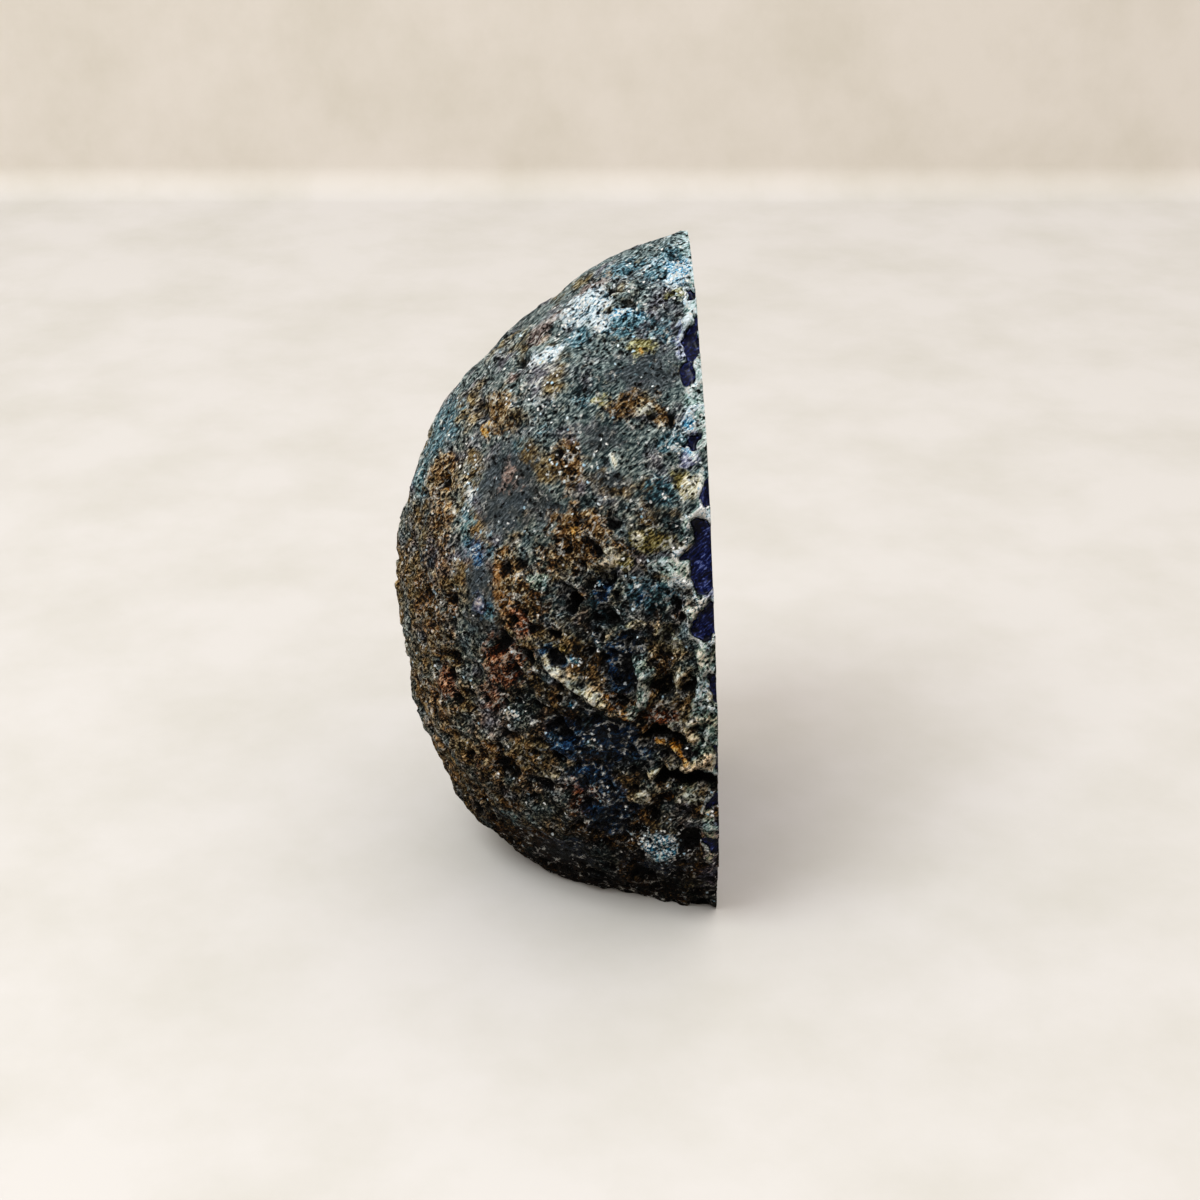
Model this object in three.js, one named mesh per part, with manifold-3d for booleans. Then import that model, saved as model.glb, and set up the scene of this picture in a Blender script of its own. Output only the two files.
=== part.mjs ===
// Agate geode: half of a nodule, sawn through, polished on the cut, and sawn flat below so that it stands.
// It grew as one piece of stone, so it is one solid: rind, agate and the quartz points of its hollow.
//
// Units are millimetres and +Z is up. The polished cut looks towards -Y and leans back a little.
// The origin is under the middle of the stone's box, on the surface that the stone stands on.
import * as THREE from "three";
import { mergeVertices } from "three/addons/utils/BufferGeometryUtils.js";
import Module from "manifold-3d";

const wasm = await Module();
wasm.setup();

// The stone's own frame: x runs across the polished cut, y back from it into the stone, and z up it.
// LEAN tips that frame back about the cut's lower edge.
const LEAN = THREE.MathUtils.degToRad(2.5);

// The whole nodule was a lumpy ellipsoid. Its middle lay a little in front of the saw's cut, so this half is
// shallow.
const NODULE_SEMI_AXES = new THREE.Vector3(43, 64, 68);
const NODULE_MIDDLE = new THREE.Vector3(0, -8, 50.5);
const RIND_DETAIL = 18;

// Lumps of the rind: waves that run through the nodule. Each has a direction, a length, a height and a phase.
const LUMPS = [
  { run: [0.8, 0.5, 0.33], length: 58, height: 0.55, phase: 0.6 },
  { run: [-0.36, 0.9, 0.25], length: 43, height: 0.45, phase: 2.1 },
  { run: [0.3, -0.42, 0.86], length: 31, height: 0.4, phase: 4.0 },
  { run: [0.66, 0.1, -0.74], length: 24, height: 0.35, phase: 1.2 },
  { run: [-0.2, 0.62, 0.76], length: 18, height: 0.3, phase: 5.3 },
  { run: [0.9, -0.36, 0.24], length: 14, height: 0.25, phase: 3.1 },
];

// Broad swells, and flats with a height below zero. `at` is across, back and up. They fade past their reach.
const SWELLS = [
  { at: [0, 1, 119], reach: 7, height: 1.5 },
  { at: [8, 24, 106], reach: 12, height: -0.5 },
  { at: [7, 40, 96], reach: 9, height: -0.9 },
  { at: [2, 48, 78], reach: 13, height: 1.4 },
  { at: [-5, 51, 23], reach: 13, height: -1.1 },
  { at: [-22, 12, 3], reach: 12, height: -0.9 },
];

// Open holes in the rind, where gas bubbles or grains of the host rock were.
// Each is on the -X or the +X side, so far back from the cut and so far up it, and has its semi-axes.
const VUGS = [
  { side: -1, back: 3.2, up: 106, size: [3, 1.2, 3.6] },
  { side: -1, back: 6.6, up: 35.2, size: [4.5, 4.6, 1.6] },
  { side: -1, back: 9.5, up: 43.7, size: [3, 3.6, 2.2] },
  { side: -1, back: 24, up: 67.2, size: [2.6, 1.6, 2] },
  { side: -1, back: 15.9, up: 56, size: [2.2, 4, 5.4] },
  { side: -1, back: 27, up: 57.2, size: [1.6, 2.8, 2] },
  { side: -1, back: 29.5, up: 19.4, size: [2.4, 1.8, 1.2] },
  { side: 1, back: 22, up: 60, size: [3, 4.2, 3] },
  { side: 1, back: 9, up: 30, size: [2.6, 3, 2] },
  { side: 1, back: 42, up: 74, size: [2.8, 3.4, 2.6] },
  { side: 1, back: 20, up: 96, size: [3, 3.6, 2.8] },
  { side: 1, back: 48, up: 32, size: [2.6, 2.8, 2] },
];
const VUG_DETAIL = 2;

// The hollow in the polished cut, lined with quartz points.
const HOLLOW_MIDDLE = new THREE.Vector3(1, 0, 57);
const HOLLOW_SEMI_AXES = new THREE.Vector3(21, 27, 32);
const HOLLOW_DETAIL = 6;
const HOLLOW_LOBES = [
  { run: [0.7, 0.2, 0.68], length: 31, height: 1.6, phase: 0.9 },
  { run: [-0.6, 0.3, 0.74], length: 22, height: 1.2, phase: 3.4 },
];

// Quartz points stand on the hollow's wall and look towards its middle. The saw cut those at its mouth.
const POINT_COUNT = 58;
const POINT_RADIUS = { least: 2.6, most: 4.8 };
const POINT_BURIED = 4;
const POINT_PRISM = 0.9;
const POINT_TIP = 1.5;
const POINT_TILT = 0.3;
const GOLDEN_ANGLE = Math.PI * (3 - Math.sqrt(5));

// A block this large on each side stands for the waste that a saw cut takes away.
const WASTE = 400;

function lumpiness(point, waves) {
  let sum = 0;
  for (const { run, length, height, phase } of waves) {
    const along = point.dot(new THREE.Vector3(...run).normalize());
    sum += height * Math.sin((2 * Math.PI * along) / length + phase);
  }
  return sum;
}

// Distance from an ellipsoid's middle to its surface, in a unit direction, with the lumps added.
function surfaceDistance(direction, semiAxes, waves) {
  const smooth = 1 / direction.clone().divide(semiAxes).length();
  const point = direction.clone().multiplyScalar(smooth);
  return smooth + lumpiness(point, waves);
}

function asSolid(geometry) {
  const bare = geometry.index ? geometry.toNonIndexed() : geometry.clone();
  bare.deleteAttribute("normal");
  bare.deleteAttribute("uv");
  const merged = mergeVertices(bare, 1e-4);
  return new wasm.Manifold(
    new wasm.Mesh({
      numProp: 3,
      vertProperties: merged.attributes.position.array,
      triVerts: new Uint32Array(merged.index.array),
    }),
  );
}

function swelling(point) {
  let sum = 0;
  for (const { at, reach, height } of SWELLS) {
    const away = point.distanceTo(new THREE.Vector3(...at)) / reach;
    sum += height * Math.exp(-away * away);
  }
  return sum;
}

// A round closed solid about `middle`, whose surface is distanceAlong(direction) away in each direction.
function roundSolid(middle, detail, distanceAlong) {
  const geometry = new THREE.IcosahedronGeometry(1, detail);
  const places = geometry.attributes.position;
  const direction = new THREE.Vector3();
  for (let i = 0; i < places.count; i++) {
    direction.fromBufferAttribute(places, i).normalize();
    const point = direction.clone().multiplyScalar(distanceAlong(direction)).add(middle);
    places.setXYZ(i, point.x, point.y, point.z);
  }
  return asSolid(geometry);
}

function nodule() {
  return roundSolid(NODULE_MIDDLE, RIND_DETAIL, (direction) => {
    const distance = surfaceDistance(direction, NODULE_SEMI_AXES, LUMPS);
    const point = direction.clone().multiplyScalar(distance).add(NODULE_MIDDLE);
    return distance + swelling(point);
  });
}

function vugRoom(vug) {
  const semiAxes = new THREE.Vector3(...vug.size);
  return roundSolid(vugMiddle(vug), VUG_DETAIL, (direction) => surfaceDistance(direction, semiAxes, []));
}

function hollowRoom() {
  return roundSolid(HOLLOW_MIDDLE, HOLLOW_DETAIL, (direction) =>
    surfaceDistance(direction, HOLLOW_SEMI_AXES, HOLLOW_LOBES),
  );
}

function wasteBlock(middle, turn = 0) {
  const geometry = new THREE.BoxGeometry(WASTE, WASTE, WASTE);
  geometry.translate(...middle).rotateX(turn);
  return asSolid(geometry);
}

// A number from 0 to 1 that looks random and is the same on each run.
function scattered(index, salt) {
  const value = Math.sin(index * 12.9898 + salt * 78.233) * 43758.5453;
  return value - Math.floor(value);
}

// A six-sided prism with a six-sided point, standing on +Y.
function quartzPoint(radius) {
  const shoulder = POINT_BURIED + POINT_PRISM * radius;
  const profile = [
    new THREE.Vector2(0, 0),
    new THREE.Vector2(radius, 0),
    new THREE.Vector2(radius, shoulder),
    new THREE.Vector2(0, shoulder + POINT_TIP * radius),
  ];
  return new THREE.LatheGeometry(profile, 6);
}

function liningPoint(index) {
  // The golden angle spreads places evenly over the hollow, from its deepest spot to its mouth.
  const back = 1 - (index + 0.5) / POINT_COUNT;
  const around = index * GOLDEN_ANGLE;
  const side = Math.sqrt(1 - back * back);
  const outward = new THREE.Vector3(side * Math.cos(around), back, side * Math.sin(around));
  const distance = surfaceDistance(outward, HOLLOW_SEMI_AXES, HOLLOW_LOBES);
  const root = outward.clone().multiplyScalar(distance).add(HOLLOW_MIDDLE);

  const axis = outward.clone().divide(HOLLOW_SEMI_AXES).divide(HOLLOW_SEMI_AXES).normalize().negate();
  const tilt = new THREE.Vector3(scattered(index, 1), scattered(index, 2), scattered(index, 3));
  axis.addScaledVector(tilt.subScalar(0.5), 2 * POINT_TILT).normalize();

  const share = scattered(index, 4);
  const radius = THREE.MathUtils.lerp(POINT_RADIUS.least, POINT_RADIUS.most, share * share);
  const geometry = quartzPoint(radius);
  geometry.rotateY(scattered(index, 5) * Math.PI);
  geometry.applyQuaternion(new THREE.Quaternion().setFromUnitVectors(new THREE.Vector3(0, 1, 0), axis));
  const foot = root.addScaledVector(axis, -POINT_BURIED);
  geometry.translate(foot.x, foot.y, foot.z);
  return asSolid(geometry);
}

// The spot on the nodule's surface that a vug is sunk in.
function vugMiddle({ side, back, up }) {
  const backShare = (back - NODULE_MIDDLE.y) / NODULE_SEMI_AXES.y;
  const upShare = (up - NODULE_MIDDLE.z) / NODULE_SEMI_AXES.z;
  const across = NODULE_SEMI_AXES.x * Math.sqrt(1 - backShare * backShare - upShare * upShare);
  return new THREE.Vector3(NODULE_MIDDLE.x + side * across, back, up);
}

function buildStone() {
  let stone = nodule();
  for (const vug of VUGS) {
    stone = stone.subtract(vugRoom(vug));
  }
  stone = stone.subtract(hollowRoom());
  for (let i = 0; i < POINT_COUNT; i++) {
    stone = stone.add(liningPoint(i));
  }
  // The cut that was polished: everything in front of y = 0 goes.
  return withoutSealedGaps(stone.subtract(wasteBlock([0, -WASTE / 2, 0])));
}

// Overlapping points close off small gaps at their feet, and those are stone too: the largest shell is the
// outside.
function withoutSealedGaps(solid) {
  return solid.decompose().reduce((largest, shell) => (shell.volume() > largest.volume() ? shell : largest));
}

function asGeometry(solid) {
  const { vertProperties, triVerts } = solid.getMesh();
  return new THREE.BufferGeometry()
    .setAttribute("position", new THREE.BufferAttribute(vertProperties, 3))
    .setIndex(new THREE.BufferAttribute(triVerts, 1));
}

function standingStone() {
  const leaning = asGeometry(buildStone()).rotateX(-LEAN);
  // The cut that it stands on: everything under z = 0 goes.
  const standing = asGeometry(asSolid(leaning).subtract(wasteBlock([0, 0, -WASTE / 2])));
  standing.computeBoundingBox();
  const middle = standing.boundingBox.getCenter(new THREE.Vector3());
  return standing.translate(-middle.x, -middle.y, 0);
}

const stone = new THREE.MeshStandardMaterial({ color: 0x3d4442, roughness: 0.85, metalness: 0 });
const geode = new THREE.Mesh(standingStone(), stone);
geode.name = "geode_half";

const group = new THREE.Group();
group.add(geode);

export default group;
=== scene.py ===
# %% [markdown]
# # A standing half of an agate geode
#
# A geode is a stone that grew inward: a gas bubble in old lava filled with bands of agate from its wall,
# and the last room in its middle was lined with quartz points. This one was sawn in half, polished on the
# cut, dyed blue and sawn flat below, so that the half stands. Most of what the eye meets is the rind, the
# dark rough skin that grew against the lava.
#
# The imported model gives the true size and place. Everything here is built around it, in the same frame:
# metres, +Z up, the polished cut towards -Y.

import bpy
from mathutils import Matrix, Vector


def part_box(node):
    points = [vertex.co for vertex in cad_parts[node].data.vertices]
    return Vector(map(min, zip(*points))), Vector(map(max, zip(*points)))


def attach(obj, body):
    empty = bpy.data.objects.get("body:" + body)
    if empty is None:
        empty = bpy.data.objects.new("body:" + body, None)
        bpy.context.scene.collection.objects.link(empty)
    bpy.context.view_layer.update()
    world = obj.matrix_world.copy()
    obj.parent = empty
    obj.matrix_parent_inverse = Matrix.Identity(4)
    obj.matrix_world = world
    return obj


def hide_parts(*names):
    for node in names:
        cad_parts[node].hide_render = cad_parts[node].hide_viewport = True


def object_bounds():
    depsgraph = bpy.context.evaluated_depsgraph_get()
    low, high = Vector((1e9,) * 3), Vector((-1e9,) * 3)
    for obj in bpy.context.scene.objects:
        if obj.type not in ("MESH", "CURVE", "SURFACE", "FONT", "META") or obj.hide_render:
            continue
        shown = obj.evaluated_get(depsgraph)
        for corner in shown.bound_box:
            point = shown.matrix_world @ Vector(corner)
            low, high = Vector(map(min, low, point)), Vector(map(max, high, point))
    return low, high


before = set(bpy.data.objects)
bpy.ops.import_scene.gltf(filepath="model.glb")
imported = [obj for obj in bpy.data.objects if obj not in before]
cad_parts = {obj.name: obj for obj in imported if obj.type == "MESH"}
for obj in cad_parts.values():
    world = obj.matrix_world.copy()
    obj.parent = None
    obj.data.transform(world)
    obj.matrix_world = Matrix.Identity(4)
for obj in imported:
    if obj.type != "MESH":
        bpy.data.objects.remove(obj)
cad_low, cad_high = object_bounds()
print("CAD box, mm:", [round(1000 * side) for side in cad_high - cad_low])

# %% Tools and units
import math

import bmesh
import bpy
import numpy as np
from mathutils import Vector

MM = 0.001
scene = bpy.context.scene

# %% [markdown]
# ## The camera
#
# The stone is seen from its rind side, edge on to the polished cut, from a little above. A long lens from
# half a metre keeps its outline nearly free of perspective. The camera comes first, because every later
# choice of scale is judged through it.

# %% Camera
# Millimetres from the middle of the cut's lower edge: away on the rind side, back, and up.
CAMERA_AWAY, CAMERA_BACK, CAMERA_UP = 376, 34.7, 225.4
LOOKS_DOWN = 25.0
LOOKS_TO_THE_CUT = 2.19
LENS = 67.2


def set_camera():
    middle_x = (cad_low.x + cad_high.x) / 2
    camera = bpy.data.objects.new("camera", bpy.data.cameras.new("camera"))
    camera.data.lens = LENS
    camera.data.sensor_width = 36
    camera.data.clip_start = 0.01
    camera.location = (middle_x - CAMERA_AWAY * MM, cad_low.y + CAMERA_BACK * MM, CAMERA_UP * MM)
    camera.rotation_euler = (math.radians(90 - LOOKS_DOWN), 0, math.radians(-90 - LOOKS_TO_THE_CUT))
    scene.collection.objects.link(camera)
    scene.camera = camera
    return camera


camera = set_camera()
print("camera at", [round(v / MM) for v in camera.location], "mm")

# %% [markdown]
# ## The shape of the nodule
#
# The whole nodule was a lumpy ellipsoid, and the solid model holds its measures. They are repeated here in
# millimetres, in the stone's own frame: x across the cut, y back from it, z up it, with the cut's plane at
# y = 0. A surface that is "so far from the middle, in each direction" is easy to build from a ball: split
# an icosahedron finely and push each corner out to its distance.

# %% The nodule's measures
LEAN = math.radians(2.5)
NODULE_SEMI_AXES = np.array([43, 64, 68])
NODULE_MIDDLE = np.array([0, -8, 50.5])
HOLLOW_SEMI_AXES = np.array([21, 27, 32])
HOLLOW_MIDDLE = np.array([1, 0, 57])

# Waves through the stone: direction, length, height, phase.
NODULE_LUMPS = [
    ((0.8, 0.5, 0.33), 58, 0.55, 0.6),
    ((-0.36, 0.9, 0.25), 43, 0.45, 2.1),
    ((0.3, -0.42, 0.86), 31, 0.4, 4.0),
    ((0.66, 0.1, -0.74), 24, 0.35, 1.2),
    ((-0.2, 0.62, 0.76), 18, 0.3, 5.3),
    ((0.9, -0.36, 0.24), 14, 0.25, 3.1),
]
HOLLOW_LUMPS = [
    ((0.7, 0.2, 0.68), 31, 1.6, 0.9),
    ((-0.6, 0.3, 0.74), 22, 1.2, 3.4),
]
# Broad swells and flats: place, reach, height.
SWELLS = [
    ((0, 1, 119), 7, 1.5),
    ((8, 24, 106), 12, -0.5),
    ((7, 40, 96), 9, -0.9),
    ((2, 48, 78), 13, 1.4),
    ((-5, 51, 23), 13, -1.1),
    ((-22, 12, 3), 12, -0.9),
]
print(f"{len(NODULE_LUMPS)} waves and {len(SWELLS)} swells shape the nodule")


# %% Distance to the surface
def distance_to_surface(directions, semi_axes, lumps):
    """How far the lumpy ellipsoid's surface is from its middle, in each unit direction."""
    smooth = 1 / np.linalg.norm(directions / semi_axes, axis=1)
    points = directions * smooth[:, None]
    distance = smooth
    for run, length, height, phase in lumps:
        along = points @ (np.array(run) / np.linalg.norm(run))
        distance = distance + height * np.sin(2 * np.pi * along / length + phase)
    return distance


def nodule_surface(directions):
    """Points of the nodule's skin before any roughness."""
    distance = distance_to_surface(directions, NODULE_SEMI_AXES, NODULE_LUMPS)
    points = NODULE_MIDDLE + directions * distance[:, None]
    for place, reach, height in SWELLS:
        away = np.linalg.norm(points - np.array(place), axis=1) / reach
        distance = distance + height * np.exp(-away**2)
    return NODULE_MIDDLE + directions * distance[:, None]


print("the nodule reaches back to", round(nodule_surface(np.eye(3))[1, 1], 1), "mm")

# %% A fine ball
SPLITS = 140  # each edge of the icosahedron is split into so many: about 0.6 mm on the stone


def fine_ball(splits):
    """Directions and triangles of an icosahedron. Each face is split into splits x splits triangles."""
    bm = bmesh.new()
    bmesh.ops.create_icosphere(bm, subdivisions=1, radius=1)
    corners = np.array([v.co[:] for v in bm.verts])
    faces = [[v.index for v in face.verts] for face in bm.faces]
    bm.free()

    rows, columns = np.meshgrid(np.arange(splits + 1), np.arange(splits + 1), indexing="ij")
    inside = rows + columns <= splits
    number = np.full(inside.shape, -1)
    number[inside] = np.arange(inside.sum())
    upright = np.stack([number[:-1, :-1], number[1:, :-1], number[:-1, 1:]], -1).reshape(-1, 3)
    turned = np.stack([number[1:, :-1], number[1:, 1:], number[:-1, 1:]], -1).reshape(-1, 3)
    pattern = np.concatenate([upright, turned])
    pattern = pattern[(pattern >= 0).all(1)]

    points, triangles = [], []
    share_b = (rows[inside] / splits)[:, None]
    share_c = (columns[inside] / splits)[:, None]
    for a, b, c in faces:
        triangles.append(pattern + len(points) * inside.sum())
        points.append(corners[a] * (1 - share_b - share_c) + corners[b] * share_b + corners[c] * share_c)
    points = np.concatenate(points)
    _, first, merged = np.unique(np.round(points, 5), axis=0, return_index=True, return_inverse=True)
    directions = points[first] / np.linalg.norm(points[first], axis=1)[:, None]
    return directions, merged.reshape(-1)[np.concatenate(triangles)]


ball, ball_triangles = fine_ball(SPLITS)
print(f"ball: {len(ball)} points")


# %% The part that the saw leaves
SPARE = 3  # mm of the ball that are kept past each saw cut, because roughness moves the points


def near_stone(points, margin):
    """Which points lie on the kept side of both saw cuts, or within the margin of it."""
    above_base = points[:, 2] * math.cos(LEAN) - points[:, 1] * math.sin(LEAN)
    return (points[:, 1] > -margin) & (above_base > -margin)


skin = nodule_surface(ball)
kept = near_stone(skin, SPARE)[ball_triangles].any(1)
used, ball_triangles = np.unique(ball_triangles[kept], return_inverse=True)
ball_triangles = ball_triangles.reshape(-1, 3)
directions = ball[used]
skin = skin[used]
print(f"rind before the cuts: {len(skin)} points, {len(ball_triangles)} triangles")

# %% [markdown]
# ## Random, but the same each time
#
# Stone needs noise of many sizes. Blender's texture nodes give it to a material, but the mesh needs it too,
# at each point. A few lines of numpy do it: every cell of a grid gets a number from a hash of its place,
# and the numbers are blended smoothly between the cells. A size in millimetres says how big the lumps are.

# %% Noise for the mesh
def lattice(cells, salt):
    """A number from 0 to 1 for each whole-numbered cell. The large numbers only mix its bits."""
    x, y, z = (cells[:, k].astype(np.uint32) for k in range(3))
    mixed = x * np.uint32(73856093) ^ y * np.uint32(19349663) ^ z * np.uint32(83492791)
    mixed ^= np.uint32(salt * 374761393 % 2**32)
    for shift, factor in ((15, 2246822519), (13, 3266489917)):
        mixed = (mixed ^ (mixed >> np.uint32(shift))) * np.uint32(factor)
    return (mixed ^ (mixed >> np.uint32(16))) / 2**32


TURN = np.array([[0.8, 0.6, 0], [-0.48, 0.64, 0.6], [0.36, -0.48, 0.8]])  # the grid lies askew to the stone


def noise(points, size, salt):
    """Smooth noise from -1 to 1 with lumps about `size` millimetres wide."""
    scaled = points @ TURN.T / size
    cell = np.floor(scaled).astype(np.int64)
    blend = scaled - cell
    blend = blend * blend * (3 - 2 * blend)
    total = 0
    for corner in np.ndindex(2, 2, 2):
        weight = np.prod(np.where(corner, blend, 1 - blend), axis=1)
        total = total + weight * lattice(cell + np.array(corner), salt)
    return 2 * total - 1


def layered_noise(points, size, salt, layers):
    """Noise over noise: each layer is half as big and half as strong."""
    total = sum(noise(points, size / 2**k, salt + k) / 2**k for k in range(layers))
    return total / sum(0.5**k for k in range(layers))


def pushed_about(points, distance, size, salts, layers):
    """Points that noise pushes about by up to `distance` millimetres along each axis."""
    return points + distance * np.stack([layered_noise(points, size, salt, layers) for salt in salts], 1)


def smooth_step(value, start, end):
    """0 before start, 1 after end, and an easy slope between."""
    share = np.clip((value - start) / (end - start), 0, 1)
    return share * share * (3 - 2 * share)


print("noise spans", np.round([noise(skin, 5, 1).min(), noise(skin, 5, 1).max()], 2))
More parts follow.
